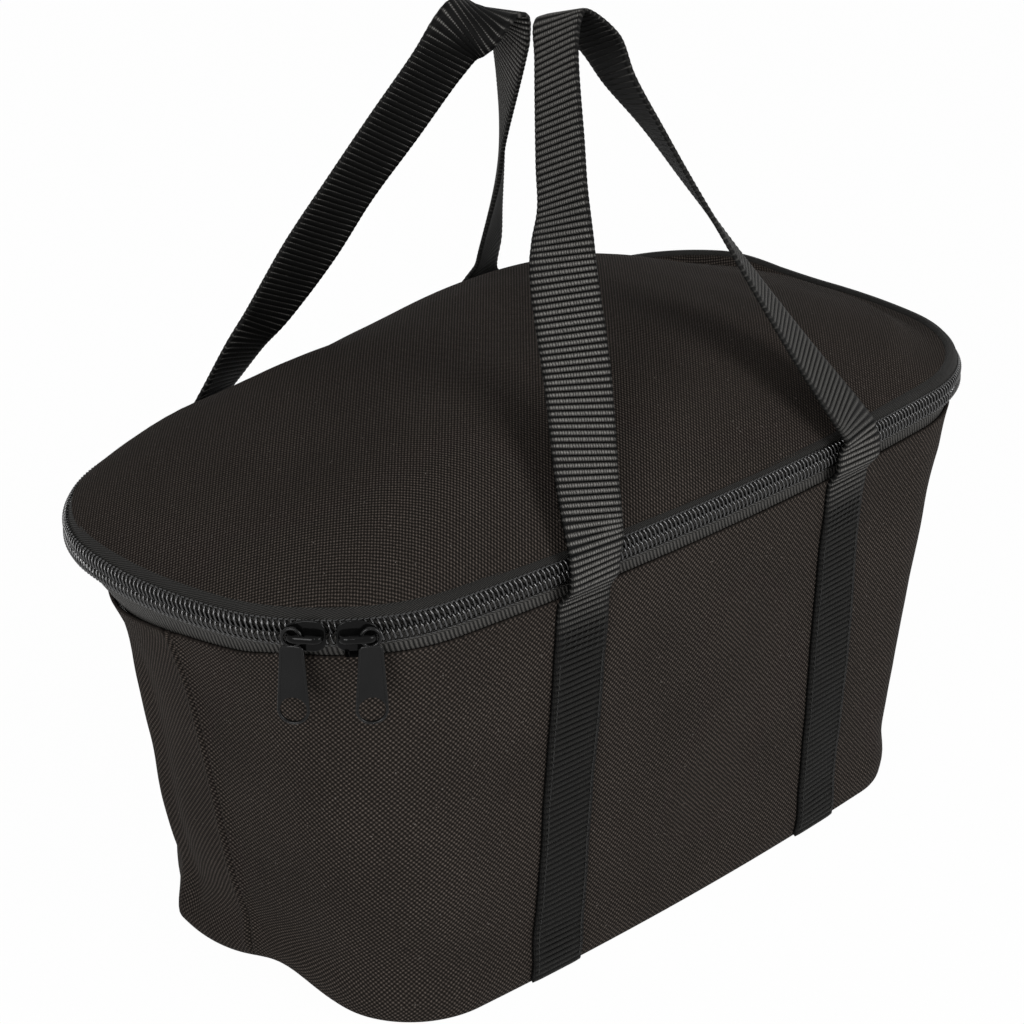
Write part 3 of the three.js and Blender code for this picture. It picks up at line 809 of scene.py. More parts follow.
@dataclass(frozen=True)
class Level:
    """An oval of tangent arcs: the body's outline at one height."""

    z: float
    half_length: float
    half_depth: float
    side_radius: float
    end_radius: float
    corner_radius: float

    def sizes(self) -> tuple[float, ...]:
        """The outline's sizes without its height."""
        return self.half_length, self.half_depth, self.side_radius, self.end_radius, self.corner_radius


class Oval:
    """A level's outline by stations: 0 left end, 1 front middle, 2 right end, 3 back middle."""

    END_SHARE = 0.16
    CORNER_SHARE = 0.72

    def __init__(self, sizes: Sequence[float]) -> None:
        """Finds the arcs.

        Args:
            sizes: Half length, half depth, side radius, end radius and corner radius.
        """
        half_length, half_depth, self.side_radius, self.end_radius, self.corner_radius = sizes
        self.half_depth = half_depth
        self.side = Vector((0.0, self.side_radius - half_depth))
        self.end = Vector((self.end_radius - half_length, 0.0))
        from_side = self.side_radius - self.corner_radius
        from_end = self.end_radius - self.corner_radius
        between = self.end - self.side
        distance = between.length
        along = (from_side**2 - from_end**2 + distance**2) / (2 * distance)
        across = math.sqrt(from_side**2 - along**2)
        between.normalize()
        self.corner = self.side + between * along + Vector((between.y, -between.x)) * across
        to_side = self.corner - self.side
        to_end = self.corner - self.end
        self.side_angle = math.atan2(to_side.y, to_side.x)
        self.end_angle = math.atan2(to_end.y, to_end.x)

    def quarter(self, share: float) -> tuple[Vector, Vector]:
        """A point of the front left quarter and its outward normal.

        Args:
            share: From 0 at the left end to 1 at the front's middle.

        Returns:
            The point and the normal.
        """
        if share <= self.END_SHARE:
            angle = mix(-math.pi, self.end_angle, share / self.END_SHARE)
            centre, radius = self.end, self.end_radius
        elif share <= self.CORNER_SHARE:
            turn = (share - self.END_SHARE) / (self.CORNER_SHARE - self.END_SHARE)
            angle = mix(self.end_angle, self.side_angle, turn)
            centre, radius = self.corner, self.corner_radius
        else:
            turn = (share - self.CORNER_SHARE) / (1 - self.CORNER_SHARE)
            angle = mix(self.side_angle, -math.pi / 2, turn)
            centre, radius = self.side, self.side_radius
        normal = Vector((math.cos(angle), math.sin(angle)))
        return centre + normal * radius, normal

    def point(self, station: float) -> tuple[Vector, Vector]:
        """The point at a station and its outward normal."""
        turn = station % LAP
        index = int(turn)
        share = turn - index
        place, normal = self.quarter(share if index % 2 == 0 else 1 - share)
        flip = Vector((-1 if index in (1, 2) else 1, -1 if index >= 2 else 1))
        return Vector((place.x * flip.x, place.y * flip.y)), Vector((normal.x * flip.x, normal.y * flip.y))


@dataclass(frozen=True, eq=False)
class BodyForm:
    """The bag's shape: its outlines by height, and how the filled cloth stands off them.

    A run counts stations from the left end, and a climb counts height.
    """

    levels: tuple[Level, ...] = (
        Level(0.0, 172.0, 96.0, 2000.0, 500.0, 44.0),
        Level(160.0, 203.0, 105.5, 1600.0, 300.0, 64.0),
        Level(188.0, 215.0, 110.2, 1500.0, 250.0, 72.0),
        Level(197.0, 222.5, 112.5, 1500.0, 240.0, 76.0),
    )
    wall_top: float = 188.0
    zip_z: float = 200.0
    edge_radius: float = 3.5
    edge_gap: float = 0.5
    smoothing: float = 20.0
    smoothing_steps: int = 6
    length_steps: int = 800
    held_rate: float = 9.0
    belly: float = 1.5
    rumple: Rumple = Rumple(1.5, 62.0, 0.5, 21.0)
    to_end: Ramp = Ramp(104.5, 66.5)
    left_end: Ramp = Ramp(-120.0, -40.0)
    foot_roll: Swell = Swell(1.6, 10.0, 10.0)
    foot_pinch: Swell = Swell(-0.9, 30.0, 12.0)
    foot_dent: Swell = Swell(2.0, 34.0, 18.0)
    foot_dent_run: Swell = Swell(1.0, -0.2, 0.16)
    foot_bulge: Swell = Swell(5.0, 3.0, 10.0)
    foot_bulge_run: Swell = Swell(1.0, -0.13, 0.11)
    foot_lift: Swell = Swell(7.5, -16.0, 24.0)
    foot_climb: Ramp = Ramp(45.0, -45.0)
    crease_ridge: Swell = Swell(1.0, 53.0, 6.0)
    crease_groove: Swell = Swell(-1.8, 41.0, 8.0)
    crease_climb: Ramp = Ramp(168.0, -40.0)
    back_tuck: tuple[Flat, ...] = (
        (0.0, 6.5),
        (12.0, 8.0),
        (30.0, 8.5),
        (110.0, 8.6),
        (160.0, 9.0),
        (170.0, 6.0),
        (178.0, 1.5),
        (188.0, 0.0),
    )
    front_tuck: Swell = Swell(8.0, 75.0, 48.0)
    left_sag: float = 3.0
    sag_middle: float = -0.1
    sag_run: Ramp = Ramp(0.6, -0.6)
    sag_climb: Ramp = Ramp(140.0, 45.0)
    left_push: Swell = Swell(2.2, -0.12, 0.26)
    push_climb: Ramp = Ramp(165.0, 25.0)
    back_rise: float = 6.0
    rise_start: Ramp = Ramp(2.05, 0.3)
    rise_end: Ramp = Ramp(3.42, -0.4)
    left_dip: float = 7.0
    dip_front: Ramp = Ramp(0.32, -0.32)
    dip_back: Ramp = Ramp(-0.855, 0.45)
    dip_more: float = 1.5
    dip_more_run: Ramp = Ramp(0.07, -0.28)
    roll_front: Ramp = Ramp(0.9, 0.9)
    roll_back: Ramp = Ramp(-0.5, -0.9)
    roll_split: float = 0.2

    def sizes_at(self, z: float) -> tuple[float, ...]:
        """The outline's sizes at a height, straight between the levels."""
        levels = self.levels
        upper = 1
        while upper < len(levels) - 1 and z > levels[upper].z:
            upper += 1
        low, high = levels[upper - 1], levels[upper]
        share = min(max((z - low.z) / (high.z - low.z), 0.0), 1.0)
        return tuple(mix(a, b, share) for a, b in zip(low.sizes(), high.sizes()))

    @lru_cache(maxsize=None)
    def oval(self, z: float) -> Oval:
        """The outline at a height, with the wall's bends rounded off."""
        if z >= self.wall_top:
            return Oval(self.sizes_at(z))
        reach = max(min(self.smoothing, self.wall_top - z, z), 0.0)
        samples = [
            self.sizes_at(z + reach * (2 * k / self.smoothing_steps - 1))
            for k in range(self.smoothing_steps + 1)
        ]
        return Oval([sum(values) / len(values) for values in zip(*samples)])

    def relief(self, place: Vector, z: float) -> float:
        """How far the filled cloth stands out from the plain outline.

        Args:
            place: The point on the outline.
            z: Its height.

        Returns:
            The distance outwards.
        """
        share = min(max(z / self.wall_top, 0.0), 1.0)
        held = ease(share * self.held_rate) * ease((1 - share) * self.held_rate)
        belly = self.belly * math.sin(math.pi * share)
        rumple = self.rumple.at(Vector((place.x, place.y, z)))
        crease = self.crease_ridge.at(place.y) + self.crease_groove.at(place.y)
        crease *= self.left_end.at(place.x) * self.crease_climb.at(z)
        pinch = self.foot_pinch.at(z) * self.to_end.at(abs(place.x))
        return (belly + rumple + crease) * held + self.foot_roll.at(z) + pinch

    def tuck(self, station: float, z: float) -> float:
        """How far the soft back left and front right corners are pushed in."""
        low, high = self.back_tuck[-2:]
        for below, above in zip(self.back_tuck, self.back_tuck[1:]):
            if below[0] <= z <= above[0]:
                low, high = below, above
        share = min(max((z - low[0]) / (high[0] - low[0]), 0.0), 1.0)
        back_left = mix(low[1], high[1], share) * self.at_corner(station, LAP)
        front_right = self.front_tuck.at(z) * self.at_corner(station, LAP / 2)
        along = self.from_left(station)
        dent = self.foot_dent.at(z) * self.foot_dent_run.at(along)
        bulge = self.foot_bulge.at(z) * self.foot_bulge_run.at(along)
        return back_left + front_right + dent - bulge

    @staticmethod
    def at_corner(station: float, end: float) -> float:
        """1 in the middle of the corner before an end's station, 0 outside that corner."""
        turn = (station % LAP - end) / Oval.CORNER_SHARE + 1
        return math.sin(math.pi * min(max(turn, 0.0), 1.0)) ** 2

    @staticmethod
    def from_left(station: float) -> float:
        """The station counted from the left end, below 0 towards the back."""
        turn = station % LAP
        return turn if turn <= LAP / 2 else turn - LAP

    def sag(self, station: float) -> float:
        """How far the zip line sags at the left end."""
        away = abs(self.from_left(station) - self.sag_middle)
        return self.left_sag * self.sag_run.at(away)

    def rise(self, station: float) -> float:
        """How far the lid's border stands up at the back right."""
        turn = station % LAP
        return self.back_rise * self.rise_start.at(turn) * self.rise_end.at(turn)

    def push(self, station: float) -> float:
        """How far the zip line stands out at the left end."""
        return self.left_push.at(self.from_left(station))

    def lift(self, place: Vector, z: float) -> float:
        """How far the lower edge is lifted off the ground at the left end."""
        return self.foot_lift.at(place.y) * self.left_end.at(place.x) * self.foot_climb.at(z)

    def top_at(self, station: float) -> float:
        """The height of the cloth's upper edge, which dips at the left end and behind it."""
        along = self.from_left(station)
        dip = self.dip_front.at(along) if along > 0 else self.dip_back.at(along)
        dip *= 1 + self.dip_more * self.dip_more_run.at(along)
        return self.wall_top - self.edge_gap - self.left_dip * dip

    def rolled(self, station: float) -> float:
        """How full the lid's border rolls: 0 at the front and the left, 1 at the right and the back."""
        along = self.from_left(station)
        return self.roll_front.at(along) if along > self.roll_split else self.roll_back.at(along)

    def wall(self, station: float, inset: float, z: float, relief: float = 1.0) -> Vector:
        """A point of the wall.

        Args:
            station: Where round the outline.
            inset: How far inside the outer face.
            z: Its height.
            relief: How much of the cloth's own relief it takes.

        Returns:
            The point.
        """
        place, normal = self.oval(round(z, 3)).point(station)
        out = -inset
        if relief and z < self.wall_top:
            out += self.relief(place, z) * relief
        if z < self.levels[-1].z:
            out -= self.tuck(station, z)
        out += self.push(station) * self.push_climb.at(z)
        height = z + self.lift(place, z) - self.sag(station) * self.sag_climb.at(z)
        return Vector((place.x + normal.x * out, place.y + normal.y * out, height))

    def reach(self, x: float, z: float) -> float:
        """How far the front or back face stands from the middle plane at an x and a height."""
        oval = self.oval(round(z, 3))
        return math.sqrt(oval.side_radius**2 - x * x) - oval.side_radius + oval.half_depth

    @lru_cache(maxsize=None)
    def length_table(self) -> tuple[tuple[float, float], ...]:
        """Stations and the zip line's length up to each, all the way round."""
        oval = self.oval(self.zip_z)
        table = [(0.0, 0.0)]
        last = oval.point(0.0)[0]
        for step in range(1, int(LAP) * self.length_steps + 1):
            station = step / self.length_steps
            here = oval.point(station)[0]
            table.append((station, table[-1][1] + (here - last).length))
            last = here
        return tuple(table)

    def length_at(self, station: float) -> float:
        """The zip line's length from the left end to a station, which may lie before or past one round."""
        table = self.length_table()
        rounds = math.floor(station / LAP)
        step = (station - LAP * rounds) * self.length_steps
        low = min(int(step), len(table) - 2)
        return rounds * table[-1][1] + mix(table[low][1], table[low + 1][1], step - low)

    def stations(self, start: float, end: float, count: int) -> list[float]:
        """Stations evenly spaced along the zip line.

        Args:
            start: The first station.
            end: The last station.
            count: How many steps between them.

        Returns:
            The stations, both ends included.
        """
        first = self.length_at(start)
        last = self.length_at(end)
        return [self.station_at(mix(first, last, k / count)) for k in range(count + 1)]

    def station_at(self, length: float) -> float:
        """The station at a length along the zip line."""
        return halved(-LAP, 2 * LAP, lambda station: self.length_at(station) < length)

    def back_station(self, x: float) -> float:
        """The station on the back where the zip line has the given x."""
        oval = self.oval(self.zip_z)
        return halved(LAP / 2, LAP, lambda station: oval.point(station)[0].x > x)


FORM = BodyForm()


@dataclass(frozen=True)
class Plate:
    """One flat layer of the base.

    Attributes:
        name: The piece's name.
        node: The CAD node it stands for.
        finish: Its finish.
        inset: How far its edge lies inside the body's outline.
        z: The height of its lower face.
        thickness: Its thickness.
    """

    name: str
    node: str
    finish: Finish
    inset: float
    z: float
    thickness: float


@dataclass
class Walls:
    """The woven body: front and back panel, bottom, and the layers inside."""

    plates: tuple[Plate, ...] = (
        Plate("bottom_cloth", "bottom_panel", Finish.WOVEN, FORM.edge_radius - 0.4, 0.0, 1.4),
        Plate("stiff_board", "base_board", Finish.BOARD, FORM.edge_radius + 3.0, 1.7, 2.0),
        Plate("base_padding", "base_foam", Finish.FOAM, 4.6, 4.0, 5.0),
        Plate("base_lining", "base_liner", Finish.LINING, 7.9, 9.3, 0.6),
    )
    fabric: float = 1.4
    columns: int = 220
    rows: int = 64
    edge_steps: int = 6
    seam_lip: Swell = Swell(1.1, 2.4, 1.7)
    seam_dip: Swell = Swell(-1.1, 0.0, 0.9)
    seam_climb: Ramp = Ramp(0.0, 12.0)
    seam_step: float = 0.6
    seam_columns: int = 14
    foam_inset: float = 1.7
    foam: float = 5.0
    liner_inset: float = 7.0
    liner: float = 0.6
    layer_bottom: float = 9.3
    layer_top: float = 176.0
    layer_gap: float = 2.0
    layer_steps: int = 24
    plate_rings: int = 10
    plate_curl: int = 6

    def profile(self) -> list[tuple[float, float, float]]:
        """The wall's section from the ground up: inset, height and share of the climb to the upper edge."""
        radius = FORM.edge_radius
        turns = [math.pi / 2 * k / self.edge_steps for k in range(self.edge_steps + 1)]
        curl = [(radius * (1 - math.sin(turn)), radius * (1 - math.cos(turn)), 0.0) for turn in turns]
        climb = [(0.0, radius, (k + 1) / self.rows) for k in range(self.rows)]
        return curl + climb

    def panel(self, name: str, node: str, start: float, end: float) -> None:
        """Sews one half of the body.

        Args:
            name: The piece's name.
            node: The CAD node it stands for.
            start: The station of its first seam.
            end: The station of its last seam.
        """
        first, last = FORM.length_at(start), FORM.length_at(end)
        near = [self.seam_step * k for k in range(self.seam_columns)]
        span = self.seam_step * self.seam_columns
        between = [mix(first + span, last - span, k / self.columns) for k in range(self.columns + 1)]
        lengths = [first + gap for gap in near] + between + [last - gap for gap in reversed(near)]
        stations = [FORM.station_at(length) for length in lengths]
        rows: list[Row] = []
        for inset, low, climb in self.profile():
            row = []
            for station, length in zip(stations, lengths):
                z = mix(low, FORM.top_at(station), climb)
                from_seam = min(length - first, last - length)
                lip = self.seam_lip.at(from_seam) + self.seam_dip.at(from_seam)
                row.append(FORM.wall(station, inset - lip * self.seam_climb.at(z), z))
            rows.append(row)
        mesh = laid_sheet(rows, run_cut(rows, len(stations) // 2))
        piece = finish_piece(mesh, name, Finish.WOVEN, [node], self.fabric)
        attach(piece, Body.ROOT.value)

    def plate(self, plate: Plate) -> None:
        """Lays a flat layer of the base."""
        stations = FORM.stations(0.0, LAP, self.columns // 2)
        rows = []
        for ring in range(self.plate_rings + 1):
            share = ring / self.plate_rings
            row = []
            for station in stations:
                edge = FORM.wall(station, plate.inset, plate.z)
                z = mix(plate.z, edge.z, share**self.plate_curl)
                row.append(Vector((edge.x * share, edge.y * share, z)))
            rows.append(row)
        mesh = laid_sheet(rows, flat_cut(rows), closed=True)
        piece = finish_piece(mesh, plate.name, plate.finish, [plate.node], plate.thickness)
        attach(piece, Body.ROOT.value)

    def layer(self, name: str, node: str, finish: Finish, inset: float, thickness: float) -> None:
        """Stands a layer inside the wall, its face towards the inside.

        Args:
            name: The piece's name.
            node: The CAD node it stands for.
            finish: Its finish.
            inset: How far its outer side lies inside the body's face.
            thickness: Its thickness.
        """
        stations = FORM.stations(LAP, 0.0, self.columns // 2)
        tops = [min(self.layer_top, FORM.top_at(station) - self.layer_gap) for station in stations]
        rows = []
        for step in range(self.layer_steps + 1):
            heights = [mix(self.layer_bottom, top, step / self.layer_steps) for top in tops]
            rows.append([FORM.wall(s, inset + thickness, z) for s, z in zip(stations, heights)])
        mesh = laid_sheet(rows, run_cut(rows), closed=True)
        piece = finish_piece(mesh, name, finish, [node], thickness)
        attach(piece, Body.ROOT.value)

    def build(self) -> None:
        """Builds every layer of the body."""
        self.panel("front_cloth", "front_panel", 0.0, LAP / 2)
        self.panel("back_cloth", "back_panel", LAP / 2, LAP)
        for plate in self.plates:
            self.plate(plate)
        self.layer("wall_padding", "wall_foam", Finish.FOAM, self.foam_inset, self.foam)
        self.layer("wall_lining", "wall_liner", Finish.LINING, self.liner_inset, self.liner)


@dataclass(frozen=True)
class Binding:
    """One rounded binding round the inside.

    Attributes:
        name: The piece's name.
        node: The CAD node it stands for.
        body: The body it moves with.
        low: The least inset and the lowest height of its section.
        high: The greatest inset and the top of its section.
        radius: The rounding of its corners.
    """

    name: str
    node: str
    body: Body
    low: Flat
    high: Flat
    radius: float


@dataclass
class Zip:
    """The zip: two herringbone tapes, two rows of coil, the hinge strip, its end tabs and the bindings."""

    hinge_half: float = 125.0
    columns: int = 360
    tape: float = 0.9
    tape_face: float = 2.5
    band_top: float = 197.0
    flat_border: tuple[Flat, ...] = (
        (2.5, 200.4),
        (2.5, 202.5),
        (2.6, 204.2),
        (3.2, 205.8),
        (4.3, 207.1),
        (5.8, 208.0),
        (7.6, 208.6),
        (10.0, 209.2),
        (13.0, 209.8),
        (16.0, 210.2),
    )
    full_border: tuple[Flat, ...] = (
        (2.5, 200.4),
        (2.0, 203.4),
        (1.9, 206.0),
        (2.5, 208.4),
        (4.2, 210.1),
        (6.2, 210.3),
        (7.8, 209.1),
        (8.5, 207.2),
        (8.8, 205.8),
        (10.0, 205.0),
    )
    tape_seat: float = 1.9
    tape_steps: int = 5
    tucked: tuple[float, ...] = (6.0, 2.0)
    half_gap: float = 0.4
    rise_climb: Ramp = Ramp(201.0, 8.0)
    pitch: float = 2.45
    upper_shift: float = 0.5
    lower_shift: float = -0.16
    wire: float = 0.50
    wire_sides: int = 6
    loop_bends: tuple[Point, ...] = (
        (-0.34, 0.10, 4.70),
        (-0.30, 1.10, 4.45),
        (-0.08, 1.85, 3.00),
        (0.20, 1.75, 1.10),
        (0.40, 1.05, -0.15),
        (0.42, 0.10, -0.30),
    )
    coil_lift: float = 0.1
    stitch: float = 0.32
    stitch_sides: int = 5
    stitch_bends: tuple[Point, ...] = ((-0.30, 0.55, 5.15), (0.0, 0.85, 5.30), (0.30, 0.55, 5.45))
    hinge_columns: int = 110
    tab_half: float = 9.0
    tab_low: float = 183.0
    tab_high: float = 195.7
    tab_columns: int = 22
    tab_rows: int = 14
    tab_stand: float = 1.2
    tab_curl: float = 0.35
    tab_curl_power: int = 6
    corner_steps: int = 4
    bindings: tuple[Binding, ...] = (
        Binding("rim_tape", "rim_binding", Body.ROOT, (4.3, 182.2), (9.2, 193.0), 1.6),
        Binding("lid_tape", "lid_binding", Body.LID, (8.6, 207.0), (25.6, 208.8), 0.8),
    )
    binding_columns: int = 200

    def __post_init__(self) -> None:
        """Finds the stations between which the zip runs."""
        self.left = FORM.back_station(-self.hinge_half) - LAP
        self.right = FORM.back_station(self.hinge_half)

    def lower_section(self, station: float) -> list[Flat]:
        """The lower tape's face at a station from the bottom up, as insets and heights."""
        edge = FORM.top_at(station)
        section = [(self.tape_seat, edge - depth) for depth in self.tucked]
        for step in range(self.tape_steps + 1):
            share = step / self.tape_steps
            section.append((mix(self.tape_seat, self.tape_face, share), mix(edge, self.band_top, share)))
        return [*section, (self.tape_face, FORM.zip_z - self.half_gap)]

    def upper_section(self, station: float) -> list[Flat]:
        """The upper tape's face at a station from the coil up and over, as insets and heights."""
        share = FORM.rolled(station)
        section = []
        for flat, full in zip(self.flat_border, self.full_border):
            z = mix(flat[1], full[1], share)
            raised = z + FORM.rise(station) * self.rise_climb.at(z)
            section.append((mix(flat[0], full[0], share), raised))
        return section

    def hinge_section(self, station: float) -> list[Flat]:
        """The hinge cloth's face at a station, as insets and heights."""
        middle = [(self.tape_face, FORM.zip_z + k * self.half_gap) for k in (-0.5, 0.0, 0.5)]
        return self.lower_section(station) + middle + self.upper_section(station)

    def band(self, section: Section, start: float, end: float, columns: int) -> bmesh.types.BMesh:
        """Carries a section along the zip line.

        Args:
            section: Gives insets and heights at a station, from the lower edge to the upper.
            start: The first station.
            end: The last station.
            columns: Steps along it.

        Returns:
            The sheet.
        """
        stations = FORM.stations(start, end, columns)
        strips = [[FORM.wall(s, inset, z, 0.0) for inset, z in section(s)] for s in stations]
        rows = [list(row) for row in zip(*strips)]
        return laid_sheet(rows, run_cut(rows))

    def tooth(self, up: int) -> bpy.types.Mesh:
        """Bends one loop of the coil, with x along the zip, y out and z up.

        Args:
            up: 1 for the upper row and -1 for the lower.

        Returns:
            The loop as a mesh, in millimetres.
        """
        wire = [Vector((x * self.pitch * up, y, z * up)) for x, y, z in self.loop_bends]
        stitch = [Vector((x * self.pitch, y, z * up)) for x, y, z in self.stitch_bends]
        mesh = bmesh.new()
        round_rod(mesh, wire, self.wire, self.wire_sides)
        round_rod(mesh, stitch, self.stitch, self.stitch_sides)
        data = bpy.data.meshes.new("coil_loop")
        mesh.to_mesh(data)
        mesh.free()
        return data

    def coil(self, name: str, node: str, body: Body, up: int) -> None:
        """Winds one row of the coil along the tape.

        Args:
            name: The piece's name.
            node: The CAD node it stands for.
            body: The body it moves with.
            up: 1 for the upper row and -1 for the lower.
        """
        loop = self.tooth(up)
        size = len(loop.vertices)
        start = FORM.length_at(self.left)
        total = FORM.length_at(self.right) - start
        count = int(total / self.pitch)
        shift = self.upper_shift if up > 0 else self.lower_shift
        mesh = bmesh.new()
        for index in range(count):
            station = FORM.station_at(start + (index + shift) * self.pitch)
            place, normal = FORM.oval(FORM.zip_z).point(station)
            out = Vector((normal.x, normal.y, 0.0))
            along = Vector((-normal.y, normal.x, 0.0))
            turn = Matrix((along, out, Vector((0, 0, 1)))).transposed().to_4x4()
            sunk = self.tape_face - self.coil_lift - FORM.push(station)
            seat = Vector((place.x, place.y, FORM.zip_z - FORM.sag(station))) - out * sunk
            mesh.from_mesh(loop)
            mesh.verts.ensure_lookup_table()
            fresh = mesh.verts[-size:]
            placed = Matrix.Scale(MM, 4) @ Matrix.Translation(seat) @ turn
            bmesh.ops.transform(mesh, matrix=placed, verts=fresh)
        bpy.data.meshes.remove(loop)
        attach(finish_piece(mesh, name, Finish.COIL, [node]), body.value)

    def hinge(self) -> None:
        """Sews the cloth hinge that joins lid and body along the back."""
        mesh = self.band(self.hinge_section, self.right, self.left + LAP, self.hinge_columns)
        piece = finish_piece(mesh, "hinge_cloth", Finish.WOVEN, ["hinge_strip", "lid_hinge_strip"], self.tape)
        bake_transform(piece)

    def end_tab(self, end: End) -> None:
        """Sews the webbing tab over one end of the zip."""
        x = end.value * self.hinge_half
        start, stop = FORM.back_station(x + self.tab_half), FORM.back_station(x - self.tab_half)
        stations = FORM.stations(start, stop, self.tab_columns)
        rows = []
        for step in range(self.tab_rows + 1):
            z = mix(self.tab_low, self.tab_high, step / self.tab_rows)
            row = []
            for index, station in enumerate(stations):
                edge = abs(2 * index / self.tab_columns - 1) ** self.tab_curl_power
                row.append(FORM.wall(station, self.tab_curl * edge - self.tab_stand, z, 0.0))
            rows.append(row)
        mesh = laid_sheet(rows, run_cut(rows))
        name = end.word
        piece = finish_piece(mesh, f"{name}_zip_tab", Finish.WEBBING, [f"{name}_zip_end"], self.tape)
        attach(piece, Body.ROOT.value)

    def binding(self, binding: Binding) -> None:
        """Runs a rounded binding round the inside."""
        (near, low), (far, high), radius = binding.low, binding.high, binding.radius
        section = []
        corners = [(far, low, 3), (near, low, 2), (near, high, 1), (far, high, 0)]
        for inset, z, quarter in reversed(corners):
            for step in range(self.corner_steps + 1):
                angle = math.pi / 2 * (quarter + step / self.corner_steps)
                centre_inset = inset + (radius if inset == near else -radius)
                centre_z = z + (radius if z == low else -radius)
                section.append((centre_inset + radius * math.cos(angle), centre_z + radius * math.sin(angle)))
        section.append(section[0])
        stations = FORM.stations(0.0, LAP, self.binding_columns)
        rows = [[FORM.wall(s, inset, z, 0.0) for s in stations] for inset, z in section]
        mesh = laid_sheet(rows, run_cut(rows), closed=True)
        bmesh.ops.recalc_face_normals(mesh, faces=mesh.faces[:])
        piece = finish_piece(mesh, binding.name, Finish.TAPE, [binding.node])
        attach(piece, binding.body.value)

    def build(self) -> None:
        """Builds the whole zip but for its sliders."""
        lower = self.band(self.lower_section, self.left, self.right, self.columns)
        piece = finish_piece(lower, "lower_tape", Finish.TAPE, ["lower_zip_tape"], self.tape)
        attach(piece, Body.ROOT.value)
        upper = self.band(self.upper_section, self.left, self.right, self.columns)
        piece = finish_piece(upper, "upper_tape", Finish.SHADED_TAPE, ["upper_zip_tape"], self.tape)
        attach(piece, Body.LID.value)
        self.coil("lower_coil_loops", "lower_coil", Body.ROOT, -1)
        self.coil("upper_coil_loops", "upper_coil", Body.LID, 1)
        self.hinge()
        for end in End:
            self.end_tab(end)
        for binding in self.bindings:
            self.binding(binding)


